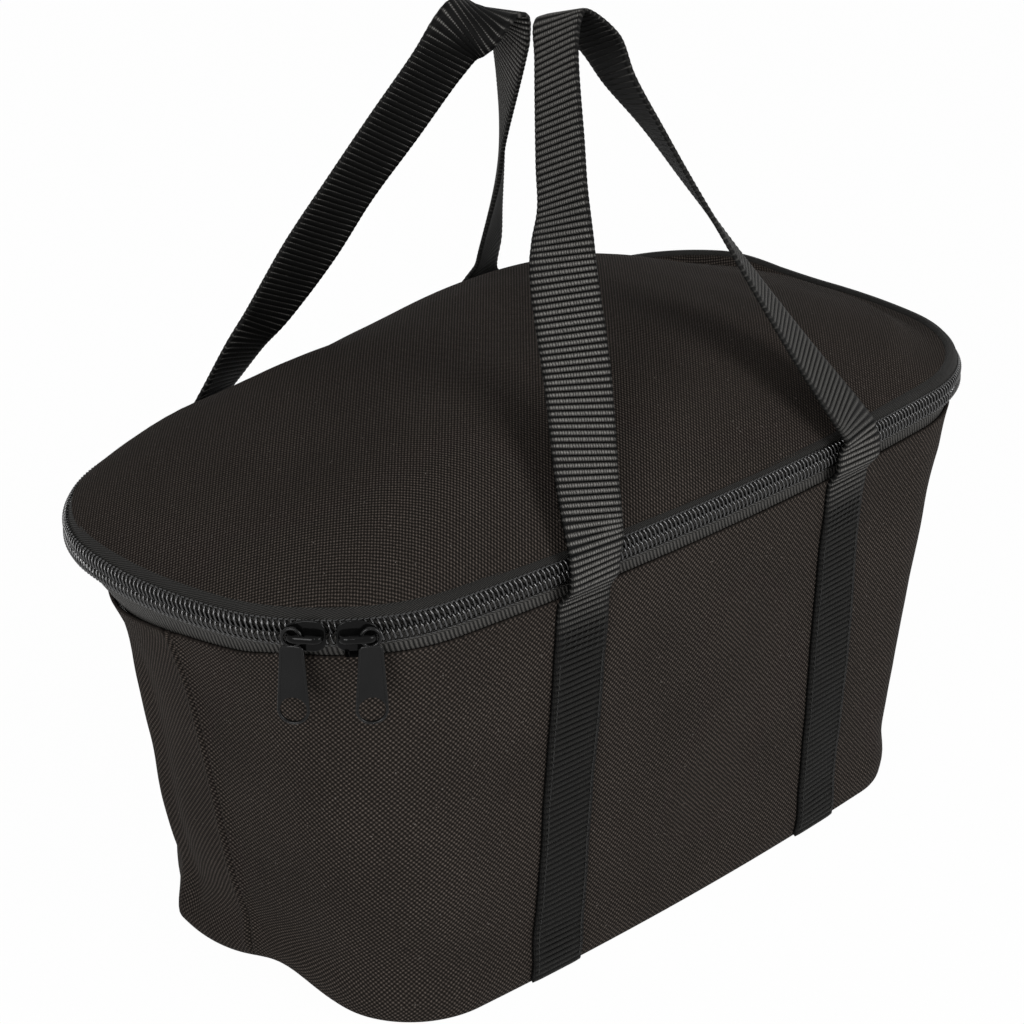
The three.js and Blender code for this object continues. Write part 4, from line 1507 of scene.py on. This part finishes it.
@dataclass
class Lid:
    """The domed lid: woven cover with a turned hem, padding and lining."""

    flat_edge: Flat = (3.6, 207.1)
    full_edge: Flat = (7.6, 208.6)
    left_bare: Swell = Swell(2.2, -0.1, 0.35)
    corner_bare: Swell = Swell(3.2, 0.5, 0.42)
    bare_lift: float = 0.4
    crown_z: float = 257.0
    fullness: float = 3.0
    soft_rate: float = 4.0
    rumple: Rumple = Rumple(2.0, 75.0, 0.7, 26.0)
    right_drop: float = 6.0
    right_run: Ramp = Ramp(-10.0, 150.0)
    mounds: tuple[Mound, ...] = (
        Mound(2.0, 8.0, 50.0, 60.0),
        Mound(4.2, 88.0, 64.0, 48.0),
        Mound(-4.5, -122.0, 52.0, 52.0),
        Mound(-5.0, -50.0, 78.0, 42.0),
        Mound(-7.0, 158.0, 70.0, 52.0),
    )
    shelf: float = 10.0
    shelf_from: tuple[float, float] = (0.86, 0.77)
    shelf_fall: float = 0.06
    shelf_rim: float = 0.05
    groove: float = 4.0
    rings: int = 46
    ring_power: float = 1.15
    columns: int = 200
    hem_turn: tuple[Flat, ...] = ((0.3, -1.2), (-0.5, -0.9), (-0.7, -0.4))
    fabric: float = 1.4
    fineness: float = 1.32
    foam: float = 5.0
    foam_reach: float = 0.90
    liner: float = 0.6
    layer_gap: float = 0.3
    under_z: float = 209.2
    slope_step: float = 0.01
    least_run: float = 0.5

    def edge(self, station: float) -> Flat:
        """The cover's edge at a station: how far inside the zip line, and how high."""
        share = FORM.rolled(station)
        along = FORM.from_left(station)
        bare = self.left_bare.at(along) + self.corner_bare.at(along)
        inset = mix(self.flat_edge[0], self.full_edge[0], share) + bare
        low = mix(self.flat_edge[1], self.full_edge[1], share) + self.bare_lift * bare
        return inset, low - FORM.sag(station) + FORM.rise(station)

    def point(self, station: float, reach: float) -> Vector:
        """A point of the cover.

        Args:
            station: Where round the lid.
            reach: From 0 at the middle to 1 at the edge.

        Returns:
            The point.
        """
        inset, low = self.edge(station)
        rim = FORM.wall(station, inset, FORM.zip_z, 0.0)
        x, y = rim.x * reach, rim.y * reach
        spot = Vector((x, y, 0.0))
        dome = (self.crown_z - low) * (1 - reach**self.fullness)
        swell = self.rumple.at(spot) + sum(mound.at(spot) for mound in self.mounds)
        swell -= self.right_drop * self.right_run.at(x)
        raised = FORM.rise(station) / FORM.back_rise
        depth = mix(self.groove * FORM.rolled(station), self.shelf, raised)
        crest = mix(*self.shelf_from, raised)
        shelf = depth * ease((reach - crest) / self.shelf_fall) * ease((1 - reach) / self.shelf_rim)
        return Vector((x, y, low + dome + swell * ease((1 - reach) * self.soft_rate) - shelf))

    def rows(self, drop: float, reaches: Sequence[float], up: bool) -> list[Row]:
        """The points of one domed layer.

        Args:
            drop: How far it lies under the cover, square to it.
            reaches: Its rings, from the edge inwards.
            up: Whether it faces up.

        Returns:
            The rows.
        """
        start, end = (0.0, LAP) if up else (LAP, 0.0)
        stations = FORM.stations(start, end, self.columns)
        rows = []
        for reach in reaches:
            row = []
            for station in stations:
                place = self.point(station, reach)
                if drop:
                    inward = place - self.point(station, max(reach - self.slope_step, 0.0))
                    slope = inward.z / max(math.hypot(inward.x, inward.y), self.least_run)
                    sunk = place.z - drop * math.hypot(1.0, slope)
                    place.z = min(max(sunk, self.under_z), place.z - self.fabric - self.layer_gap)
                row.append(place)
            rows.append(row)
        return rows

    def hem(self) -> list[Row]:
        """The cover's edge, rolled under onto the tape."""
        stations = FORM.stations(0.0, LAP, self.columns)
        rows = []
        for back, rise in self.hem_turn:
            row = []
            for station in stations:
                inset, z = self.edge(station)
                spot = FORM.wall(station, inset + back, FORM.zip_z, 0.0)
                row.append(Vector((spot.x, spot.y, z + rise)))
            rows.append(row)
        return rows

    def build(self) -> None:
        """Builds the cover and the layers under it."""
        reaches = [1 - (k / self.rings) ** self.ring_power for k in range(self.rings + 1)]
        rows = self.hem() + self.rows(0.0, reaches, True)
        mesh = laid_sheet(rows, flat_cut(rows, self.fineness), closed=True)
        cover = finish_piece(mesh, "lid_cover", Finish.WOVEN, ["lid_panel"], self.fabric)
        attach(cover, Body.LID.value)
        inner = [self.foam_reach * reach for reach in reaches]
        padding = self.rows(self.fabric + self.layer_gap, inner, True)
        mesh = laid_sheet(padding, flat_cut(padding), closed=True)
        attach(finish_piece(mesh, "lid_padding", Finish.FOAM, ["lid_foam"], self.foam), Body.LID.value)
        under = self.fabric + 2 * self.layer_gap + self.foam + self.liner
        lining = self.rows(under, inner, False)
        mesh = laid_sheet(lining, flat_cut(lining), closed=True)
        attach(finish_piece(mesh, "lid_lining", Finish.LINING, ["lid_liner"], self.liner), Body.LID.value)


@dataclass(frozen=True)
class Bend:
    """One place on a handle's middle line, in the handle's own plane.

    Attributes:
        x: Where along the bag.
        height: How high up the handle's plane.
        turn: How far the webbing is twisted, in degrees.
    """

    x: float
    height: float
    turn: float


@dataclass
class Handle:
    """One handle: two sewn straps, their free risers, and the twisted loop over the lid."""

    side: Side
    fold: Body
    loop: Body
    rise: float
    lean: float
    hang: float
    bends: tuple[Bend, ...]
    width: float = 28.0
    webbing: float = 1.8
    rib_depth: float = 0.30
    rib_rows: int = 6
    columns: int = 10
    edge_power: int = 10
    edge_flat: float = 0.8
    edge_roll: float = 0.25
    strap_top_x: float = 84.0
    strap_spread: float = 2.5
    strap_gap: float = 0.25
    strap_bottom: float = 3.0
    stitch_top: float = 184.5
    riser_reach: float = 114.1
    riser_step: float = 11.0
    twist_from: float = 200.5
    fold_reach: float = 111.9
    start_z: float = 208.0
    root_ease: float = 14.0
    bend_steps: int = 24
    chord_share: int = 6
    thread: float = 0.26
    thread_sides: int = 5
    stitch_start: float = 4.0
    stitch_length: float = 2.3
    stitch_pitch: float = 3.1
    stitch_inset: float = 2.0
    stitch_bends: tuple[Flat, ...] = ((0.0, -0.35), (0.25, 0.0), (0.75, 0.0), (1.0, -0.35))
    tack_low: float = 160.0
    tack_high: float = 171.0
    tack_rows: int = 5
    tack_slant: float = 0.9

    def strap_point(self, end: End, across: float, z: float) -> tuple[Vector, Vector]:
        """A point of the sewn strap's middle layer and its outward direction.

        Args:
            end: Which end of the bag.
            across: From -0.5 to 0.5 over the webbing's width, along +X.
            z: The height.

        Returns:
            The point and the direction.
        """
        x = end.value * (self.strap_top_x + self.strap_spread * (1 - z / self.stitch_top))
        x += across * self.width
        reach = FORM.reach(x, z)
        spot = Vector((x, self.side.value * reach))
        reach += FORM.relief(spot, z) + self.strap_gap + self.webbing / 2
        radius = FORM.edge_radius
        if z < radius:
            reach -= radius - math.sqrt(radius**2 - (radius - z) ** 2)
        return Vector((x, self.side.value * reach, z)), Vector((0.0, self.side.value, 0.0))

    def ribbon(self, line: Line, length: float, start: float) -> bmesh.types.BMesh:
        """Weaves a length of ribbed webbing.

        Args:
            line: Gives the place and the outward direction at a share along and a place across.
            length: How long it is.
            start: The length of webbing before it, so that the ribs run on.

        Returns:
            The webbing's middle layer.
        """
        count = max(int(length / WEBBING_RIB * self.rib_rows), 2)
        rows: list[Row] = []
        cut: list[Cut] = []
        for step in range(count + 1):
            share = step / count
            run = start + share * length
            row: Row = []
            places: Cut = []
            for column in range(self.columns + 1):
                across = column / self.columns - 0.5
                place, out = line(share, across)
                edge = abs(2 * across) ** self.edge_power
                rib = self.rib_depth * math.sin(2 * math.pi * run / WEBBING_RIB)
                raised = rib * (1 - self.edge_flat * edge) - self.edge_roll * edge
                row.append(place + out * raised)
                places.append((across * self.width, run))
            rows.append(row)
            cut.append(places)
        return laid_sheet(rows, cut)

    def strap(self, end: End) -> None:
        """Sews one strap to the wall."""
        length = self.stitch_top - self.strap_bottom
        flip = -self.side.value

        def line(share: float, across: float) -> tuple[Vector, Vector]:
            return self.strap_point(end, across * flip, mix(self.strap_bottom, self.stitch_top, share))

        name = f"{self.side.word}_{end.word}"
        mesh = self.ribbon(line, length, 0.0)
        nodes = [f"{name}_strap"]
        piece = finish_piece(mesh, f"{name}_sewn_webbing", Finish.WEBBING, nodes, self.webbing, 0.0)
        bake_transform(piece)

    def stitching(self, end: End) -> None:
        """Sews the strap's two rows of stitches and the dense block at its top."""
        mesh = bmesh.new()
        lift = self.webbing / 2 + self.rib_depth
        edge = 0.5 - self.stitch_inset / self.width
        low, high = self.strap_bottom + self.stitch_start, self.tack_low
        for across in (-edge, edge):
            for index in range(int((high - low) / self.stitch_pitch)):
                z = low + index * self.stitch_pitch
                self.stitch(mesh, end, (across, z), (across, z + self.stitch_length), lift)
        for row in range(self.tack_rows):
            z = mix(self.tack_low, self.tack_high, row / (self.tack_rows - 1))
            across = -edge
            while across < edge:
                ahead = min(across + self.stitch_length / self.width, edge)
                self.stitch(mesh, end, (across, z), (ahead, z + self.tack_slant), lift)
                across += self.stitch_pitch / self.width
        bmesh.ops.scale(mesh, vec=(MM, MM, MM), verts=mesh.verts[:])
        name = f"{self.side.word}_{end.word}_stitching"
        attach(finish_piece(mesh, name, Finish.THREAD), Body.ROOT.value)

    def stitch(self, mesh: bmesh.types.BMesh, end: End, start: Flat, stop: Flat, lift: float) -> None:
        """Adds one stitch between two places on the strap.

        Args:
            mesh: What it is added to, in millimetres.
            end: Which end of the bag.
            start: The first place, across and up.
            stop: The second place, across and up.
            lift: How far its middle stands off the webbing's middle layer.
        """
        points = []
        for share, rise in self.stitch_bends:
            across, z = mix(start[0], stop[0], share), mix(start[1], stop[1], share)
            place, out = self.strap_point(end, across, z)
            points.append(place + out * (lift + rise))
        round_rod(mesh, points, self.thread, self.thread_sides)

    def riser(self, end: End) -> None:
        """Weaves the free run between the stitching and the handle's root."""
        flip = -self.side.value
        top = self.start_z + self.webbing / 2
        root = self.bends[0] if end is End.LEFT else self.bends[-1]
        turn = math.radians(root.turn)

        def line(share: float, across: float) -> tuple[Vector, Vector]:
            z = mix(self.stitch_top, top, share)
            aside = across * flip * self.width
            low = self.strap_point(end, across * flip, self.stitch_top)[0]
            x = mix(low.x, root.x + aside * math.cos(turn), share)
            y = mix(low.y, self.side.value * self.riser_reach, ease((z - self.stitch_top) / self.riser_step))
            twist = ease((z - self.twist_from) / (top - self.twist_from))
            y += end.value * self.side.value * aside * math.sin(turn) * twist
            return Vector((x, y, z)), Vector((0.0, self.side.value, 0.0))

        name = f"{self.side.word}_{end.word}"
        mesh = self.ribbon(line, top - self.stitch_top, self.stitch_top - self.strap_bottom)
        nodes = [f"{name}_riser"]
        piece = finish_piece(mesh, f"{name}_free_webbing", Finish.WEBBING, nodes, self.webbing, 0.0)
        if self.side is Side.FRONT:
            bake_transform(piece)
        else:
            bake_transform(piece)

    def middle_line(self) -> list[Vector]:
        """The loop's line through its bends: x, height and twist in radians."""
        knots = [Vector((bend.x, bend.height, math.radians(bend.turn))) for bend in self.bends]
        last = len(knots) - 1
        line: list[Vector] = []
        for index in range(last):
            here, there = knots[index], knots[index + 1]
            leave = here + (there - knots[max(index - 1, 0)]) / self.chord_share
            arrive = there - (knots[min(index + 2, last)] - here) / self.chord_share
            piece = interpolate_bezier(here, leave, arrive, there, self.bend_steps)
            line.extend(piece[1:] if line else piece)
        return line

    def trace(self) -> list[tuple[Vector, Vector, Vector]]:
        """Follows the loop from its left root over the top to its right root.

        Returns:
            Place, direction across and direction outwards at each step.
        """
        side = self.side.value
        height = math.hypot(self.rise, self.lean)
        up = Vector((0.0, -side * self.lean, self.rise)) / height
        out = Vector((0.0, side * self.rise, self.lean)) / height
        root = Vector((0.0, side * self.riser_reach, self.start_z + self.webbing / 2))
        line = self.middle_line()
        traced = []
        for index, spot in enumerate(line):
            step = line[min(index + 1, len(line) - 1)] - line[max(index - 1, 0)]
            free = ease(spot.y / self.root_ease)
            along = step.xy.normalized()
            along = Vector((along.x * free, mix(math.copysign(1.0, along.y), along.y, free))).normalized()
            outward = Vector((0.0, side, 0.0)).lerp(out, free).normalized()
            sideways = Vector((along.y, 0.0, 0.0)) - up * along.x
            across = sideways * math.cos(spot.z) - outward * math.sin(spot.z)
            facing = sideways * math.sin(spot.z) + outward * math.cos(spot.z)
            traced.append((root + Vector((spot.x, 0.0, 0.0)) + up * spot.y, across, facing))
        return traced

    def handle(self) -> None:
        """Weaves the loop over the lid."""
        traced = self.trace()
        lengths = [0.0]
        for here, there in zip(traced, traced[1:]):
            lengths.append(lengths[-1] + (there[0] - here[0]).length)
        total = lengths[-1]
        flip = -self.side.value

        def line(share: float, across: float) -> tuple[Vector, Vector]:
            run = share * total
            low = min(bisect_right(lengths, run), len(lengths) - 1) - 1
            part = (run - lengths[low]) / (lengths[low + 1] - lengths[low])
            middle = traced[low][0].lerp(traced[low + 1][0], part)
            sideways = traced[low][1].lerp(traced[low + 1][1], part).normalized()
            facing = traced[low][2].lerp(traced[low + 1][2], part).normalized()
            return middle + sideways * across * self.width * flip, facing

        before = self.start_z + self.webbing / 2 - self.strap_bottom
        mesh = self.ribbon(line, total, before)
        name = f"{self.side.word}_handle"
        piece = finish_piece(mesh, f"{name}_webbing", Finish.WEBBING, [name], self.webbing, 0.0)
        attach(piece, self.loop.value)
        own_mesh(piece)

    def build(self) -> None:
        """Builds the straps, the risers and the loop."""
        for end in End:
            self.strap(end)
            self.stitching(end)
            self.riser(end)
        self.handle()


FRONT_BENDS = (
    Bend(-83.1, 0.0, -5.3),
    Bend(-75.0, 29.1, -15.2),
    Bend(-63.2, 63.6, -27.1),
    Bend(-52.0, 103.8, -50.1),
    Bend(-45.7, 119.8, -67.4),
    Bend(-38.2, 135.1, -84.8),
    Bend(-30.5, 154.3, -87.1),
    Bend(-13.9, 193.5, -92.4),
    Bend(-2.5, 208.4, -79.0),
    Bend(11.8, 193.5, -81.4),
    Bend(16.4, 174.5, -69.4),
    Bend(26.0, 150.6, -57.8),
    Bend(38.0, 116.8, -48.3),
    Bend(64.1, 47.2, -27.9),
    Bend(84.5, 0.0, -13.7),
)
BACK_BENDS = (
    Bend(-93.0, 0.0, -15.0),
    Bend(-82.0, 29.9, -3.6),
    Bend(-72.2, 48.3, 6.5),
    Bend(-59.9, 79.0, 17.7),
    Bend(-48.1, 109.1, 14.8),
    Bend(-33.3, 140.1, 18.8),
    Bend(-18.8, 170.4, 20.5),
    Bend(-11.5, 184.1, 38.0),
    Bend(-1.0, 190.4, 92.0),
    Bend(7.3, 192.0, 119.0),
    Bend(14.0, 184.7, 105.0),
    Bend(21.0, 173.9, 83.7),
    Bend(37.7, 127.9, 55.0),
    Bend(49.3, 97.2, 45.2),
    Bend(60.9, 55.0, 30.6),
    Bend(65.9, 36.5, 22.5),
    Bend(67.3, 16.0, 3.3),
    Bend(83.1, 0.0, -17.8),
)


@dataclass
class Slider:
    """One zip slider with its bail, and the long pull that hangs from it."""

    end: End
    degrees: float
    length: float = 16.0
    nose: float = 8.0
    height: float = 13.4
    tail_outline: tuple[Flat, ...] = ((-1.0, 0.45), (-0.9, 0.66), (-0.45, 0.86), (0.0, 1.0))
    nose_flat: float = 0.45
    nose_half: float = 0.35
    nose_steps: int = 6
    plate: float = 1.6
    clearance: float = 0.45
    back: float = -4.7
    back_shrink: float = 1.3
    back_share: float = 0.75
    wedge_length: float = 9.6
    wedge_height: float = 0.5
    wedge_sink: float = 0.6
    bail_half: float = 5.0
    bail_past: float = 1.6
    bail_reach: float = 4.6
    bail_sink: float = 0.5
    bail_wire: float = 0.95
    bail_tall: float = 1.7
    bail_steps: int = 16
    bail_sides: int = 14
    ring_radius: float = 4.5
    ring_wire: float = 0.75
    ring_sides: int = 10
    ring_steps: int = 28
    rim: float = 0.6
    rim_sides: int = 8
    rim_stand: float = 0.3
    pull_length: float = 42.0
    pull_top: float = 9.6
    pull_end: float = 13.0
    pull_thickness: float = 1.8
    face_share: float = 0.55
    top_share: float = 0.72
    top_chamfer: float = 0.9
    top_crown: float = 0.25
    end_steps: int = 24
    hole_radius: float = 5.3
    weld: float = 0.001

    def seat(self) -> Matrix:
        """The slider's frame on the zip: x along it, y out, z up, in millimetres."""
        oval = FORM.oval(FORM.zip_z)
        angle = math.radians(self.degrees)
        out = Vector((math.cos(angle), math.sin(angle)))
        place = oval.corner + out * oval.corner_radius
        turn = Matrix.Rotation(angle - math.pi / 2, 4, "Z")
        return Matrix.Translation((place.x, place.y, FORM.zip_z)) @ turn

    def plate_mesh(
        self, mesh: bmesh.types.BMesh, loops: Sequence[Sequence[Flat]], depth: float, thickness: float
    ) -> None:
        """Cuts a flat plate and adds it.

        Args:
            mesh: What it is added to, in millimetres.
            loops: Its outline and then its holes, as x and z.
            depth: How far out its inner face lies.
            thickness: Its thickness.
        """
        curve = bpy.data.curves.new("plate_outline", "CURVE")
        curve.dimensions = "2D"
        curve.fill_mode = "BOTH"
        curve.extrude = thickness / 2
        for loop in loops:
            spline = curve.splines.new("POLY")
            spline.points.add(len(loop) - 1)
            for point, (x, z) in zip(spline.points, loop):
                point.co = (x, z, 0.0, 1.0)
            spline.use_cyclic_u = True
        holder = bpy.data.objects.new("plate_outline", curve)
        bpy.context.scene.collection.objects.link(holder)
        bpy.context.view_layer.update()
        data = bpy.data.meshes.new_from_object(holder.evaluated_get(bpy.context.evaluated_depsgraph_get()))
        bpy.data.objects.remove(holder)
        bpy.data.curves.remove(curve)
        before = len(mesh.verts)
        mesh.from_mesh(data)
        bpy.data.meshes.remove(data)
        mesh.verts.ensure_lookup_table()
        stand = Matrix.Translation((0, depth + thickness / 2, 0)) @ Matrix.Rotation(math.pi / 2, 4, "X")
        fresh = mesh.verts[before:]
        bmesh.ops.transform(mesh, matrix=stand, verts=fresh)
        bmesh.ops.remove_doubles(mesh, verts=fresh, dist=self.weld)

    def shield(self, shrink: float) -> list[Flat]:
        """The slider's outline, round at the nose and narrowed at the tail.

        Args:
            shrink: How far it is drawn in all round.

        Returns:
            The outline as x and z.
        """
        half = self.height / 2 - shrink
        nose = self.nose - shrink
        tail = self.length - self.nose - shrink
        upper = [(x * tail, z * half) for x, z in self.tail_outline]
        for step in range(self.nose_steps + 1):
            angle = math.pi / 2 * step / self.nose_steps
            x = mix(self.nose_flat, 1.0, math.sin(angle))
            z = mix(self.nose_half, 1.0, math.cos(angle))
            upper.append((nose * x, half * z))
        outline = upper + [(x, -z) for x, z in reversed(upper)]
        return [(x * self.end.value, z) for x, z in outline]

    def slider(self) -> None:
        """Casts the slider: two shields, the wedge between them and the bridge that holds the pull."""
        mesh = bmesh.new()
        face = self.clearance + self.plate
        outline = self.shield(self.rim)
        self.plate_mesh(mesh, [outline], self.clearance, self.plate)
        edge = [Vector((x, face - self.rim, z)) for x, z in outline]
        round_rod(mesh, edge, self.rim, self.rim_sides, True)
        self.plate_mesh(mesh, [self.shield(self.back_shrink)], self.back, self.plate * self.back_share)
        long, tall = self.wedge_length / 2, self.wedge_height / 2
        wedge = [(-long, -tall), (long, -tall), (long, tall), (-long, tall)]
        self.plate_mesh(mesh, [wedge], self.back + self.wedge_sink, self.clearance - self.back)
        reach = face + self.bail_reach - self.bail_wire
        half = self.bail_half + self.bail_past
        arch = []
        for step in range(self.bail_steps + 1):
            angle = math.pi * step / self.bail_steps
            share = math.copysign(math.sqrt(abs(math.cos(angle))), math.cos(angle))
            y = mix(face - self.bail_sink, reach, math.sin(angle) ** 0.5)
            arch.append(Vector((-half * share, y, 0.0)))
        before = len(mesh.verts)
        round_rod(mesh, arch, self.bail_wire, self.bail_sides)
        mesh.verts.ensure_lookup_table()
        bmesh.ops.scale(mesh, vec=(1.0, 1.0, self.bail_tall), verts=mesh.verts[before:])
        name = f"{self.end.word}_slider"
        bmesh.ops.transform(mesh, matrix=Matrix.Scale(MM, 4) @ self.seat(), verts=mesh.verts[:])
        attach(finish_piece(mesh, f"{name}_casting", Finish.METAL, [name]), name)

    def tab(self, shrink: float) -> list[Flat]:
        """The pull's outline under its ring, widening to a round end.

        Args:
            shrink: How far it lies inside the full outline.

        Returns:
            The outline as x and z.
        """
        top, bottom = self.pull_top / 2 - shrink, self.pull_end / 2 - shrink
        drop = self.drop()
        high = -self.ring_radius * self.top_share - shrink
        inner, low = top - self.top_chamfer, high - self.top_chamfer
        points = [(inner, high), (0.0, high + self.top_crown), (-inner, high), (-top, low)]
        for step in range(self.end_steps + 1):
            angle = math.pi + math.pi * step / self.end_steps
            points.append((bottom * math.cos(angle), -drop + bottom * math.sin(angle)))
        points.append((top, low))
        return points

    def drop(self) -> float:
        """How far the finger hole hangs under the bail."""
        return self.pull_length - self.ring_radius - self.pull_end / 2

    def ring(self, z: float, radius: float) -> list[Flat]:
        """A round outline at a height."""
        turns = [2 * math.pi * k / self.ring_steps for k in range(self.ring_steps)]
        return [(radius * math.cos(turn), z + radius * math.sin(turn)) for turn in turns]

    def pull(self) -> None:
        """Stamps the pull: a wire ring, a raised rim round a sunk face, and a finger hole."""
        mesh = bmesh.new()
        face = self.clearance + self.plate
        middle = face + (self.bail_reach - self.bail_wire) / 2
        outline = self.tab(self.rim)
        hole = self.ring(-self.drop(), self.hole_radius)
        thin = self.pull_thickness * self.face_share
        self.plate_mesh(mesh, [outline, hole], middle - thin / 2, thin)
        rim = [Vector((x, middle + self.rim_stand, z)) for x, z in outline]
        round_rod(mesh, rim, self.rim, self.rim_sides, True)
        wire = self.ring(0.0, self.ring_radius - self.ring_wire)
        round_rod(mesh, [Vector((x, middle, z)) for x, z in wire], self.ring_wire, self.ring_sides, True)
        name = f"{self.end.word}_pull"
        place = self.seat() @ Matrix.Translation((-self.end.value * self.bail_half, 0.0, 0.0))
        bmesh.ops.transform(mesh, matrix=Matrix.Scale(MM, 4) @ place, verts=mesh.verts[:])
        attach(finish_piece(mesh, f"{name}_tab", Finish.PULL, [name]), name)

    def build(self) -> None:
        """Builds the slider and its pull."""
        self.slider()
        self.pull()


@dataclass(frozen=True)
class Lamp:
    """A soft square lamp: where it hangs in metres, its width, and its power in watts."""

    name: str
    place: Point
    width: float
    power: float


@dataclass
class Stage:
    """The camera at the photograph's angle, a pale floor and soft studio light."""

    lens: float = 105.08
    sensor: float = 36.0
    eye: Vector = field(default_factory=lambda: Vector((-873.36, -851.64, 718.54)))
    back: Vector = field(default_factory=lambda: Vector((-0.64510, -0.64100, 0.41588)))
    aim: Vector = field(default_factory=lambda: Vector((0.0, 0.0, 0.15)))
    far: float = 100.0
    lamps: tuple[Lamp, ...] = (
        Lamp("left_lamp", (-2.7, -1.2, 1.1), 1.3, 59.0),
        Lamp("front_lamp", (0.5, -2.9, 1.2), 1.4, 59.0),
        Lamp("small_lamp", (-1.9, -2.2, 2.0), 0.16, 7.0),
    )
    floor_size: float = 12.0
    floor_drop: float = 0.0004
    floor_grey: float = 0.8
    floor_roughness: float = 0.9
    white_share: float = 0.98
    sky: float = 0.3

    def camera(self) -> None:
        """Places the camera."""
        data = bpy.data.cameras.new("camera")
        data.lens = self.lens
        data.sensor_width = self.sensor
        data.clip_end = self.far
        camera = bpy.data.objects.new("camera", data)
        camera.location = self.eye * MM
        camera.rotation_mode = "QUATERNION"
        camera.rotation_quaternion = (-self.back).to_track_quat("-Z", "Y")
        bpy.context.scene.collection.objects.link(camera)
        bpy.context.scene.camera = camera

    @staticmethod
    def seen(tree: bpy.types.NodeTree) -> Socket:
        """1 for rays that show the background itself: camera, glossy and transmission rays."""
        path = tree.nodes.new("ShaderNodeLightPath")
        total = path.outputs["Is Camera Ray"]
        for name in ("Is Glossy Ray", "Is Transmission Ray"):
            node = tree.nodes.new("ShaderNodeMath")
            node.operation = "MAXIMUM"
            tree.links.new(total, node.inputs[0])
            tree.links.new(path.outputs[name], node.inputs[1])
            total = node.outputs[0]
        return total

    def floor(self) -> None:
        """Lays the floor."""
        mesh = bmesh.new()
        bmesh.ops.create_grid(mesh, x_segments=2, y_segments=2, size=self.floor_size / 2)
        bmesh.ops.translate(mesh, vec=(0, 0, -self.floor_drop), verts=mesh.verts[:])
        data = bpy.data.meshes.new("floor")
        mesh.to_mesh(data)
        mesh.free()
        floor = bpy.data.objects.new("floor", data)
        bpy.context.scene.collection.objects.link(floor)
        material = bpy.data.materials.new("pale_floor")
        material.use_nodes = True
        tree = material.node_tree
        shader = tree.nodes["Principled BSDF"]
        shader.inputs["Base Color"].default_value = (*grey(self.floor_grey), 1.0)
        shader.inputs["Roughness"].default_value = self.floor_roughness
        glow = tree.nodes.new("ShaderNodeEmission")
        share = tree.nodes.new("ShaderNodeMath")
        share.operation = "MULTIPLY"
        tree.links.new(self.seen(tree), share.inputs[0])
        share.inputs[1].default_value = self.white_share
        blend = tree.nodes.new("ShaderNodeMixShader")
        tree.links.new(share.outputs[0], blend.inputs["Fac"])
        tree.links.new(shader.outputs[0], blend.inputs[1])
        tree.links.new(glow.outputs[0], blend.inputs[2])
        tree.links.new(blend.outputs[0], tree.nodes["Material Output"].inputs["Surface"])
        data.materials.append(material)

    def world(self) -> None:
        """Lights the sky: white where it is seen, softer where it lights."""
        world = bpy.data.worlds.new("studio")
        world.use_nodes = True
        tree = world.node_tree
        background = tree.nodes["Background"]
        background.inputs["Color"].default_value = (*grey(1.0), 1.0)
        strength = tree.nodes.new("ShaderNodeMath")
        strength.operation = "MULTIPLY_ADD"
        tree.links.new(self.seen(tree), strength.inputs[0])
        strength.inputs[1].default_value = 1.0 - self.sky
        strength.inputs[2].default_value = self.sky
        tree.links.new(strength.outputs[0], background.inputs["Strength"])
        bpy.context.scene.world = world

    def hang(self, lamp: Lamp) -> None:
        """Hangs a lamp that faces the bag."""
        data = bpy.data.lights.new(lamp.name, "AREA")
        data.size = lamp.width
        data.energy = lamp.power
        holder = bpy.data.objects.new(lamp.name, data)
        holder.location = lamp.place
        holder.rotation_mode = "QUATERNION"
        holder.rotation_quaternion = (self.aim - Vector(lamp.place)).to_track_quat("-Z", "Y")
        bpy.context.scene.collection.objects.link(holder)

    def build(self) -> None:
        """Sets the stage."""
        self.camera()
        self.floor()
        self.world()
        for lamp in self.lamps:
            self.hang(lamp)
        bpy.context.scene.view_settings.view_transform = "Standard"


def main() -> None:
    """Builds the stage and every piece in order."""
    logging.basicConfig(level=logging.INFO, format="%(message)s")
    front = Handle(
        Side.FRONT, Body.FRONT_FOLD, Body.FRONT_HANDLE, rise=182.0, lean=97.0, hang=0.82, bends=FRONT_BENDS
    )
    back = Handle(
        Side.BACK, Body.BACK_FOLD, Body.BACK_HANDLE, rise=177.0, lean=83.0, hang=0.86, bends=BACK_BENDS
    )
    sliders = Slider(End.LEFT, degrees=-142.5), Slider(End.RIGHT, degrees=-127.8)
    for part in (Stage(), Walls(), Zip(), Lid(), front, back, *sliders):
        part.build()


if __name__ == "__main__":
    main()
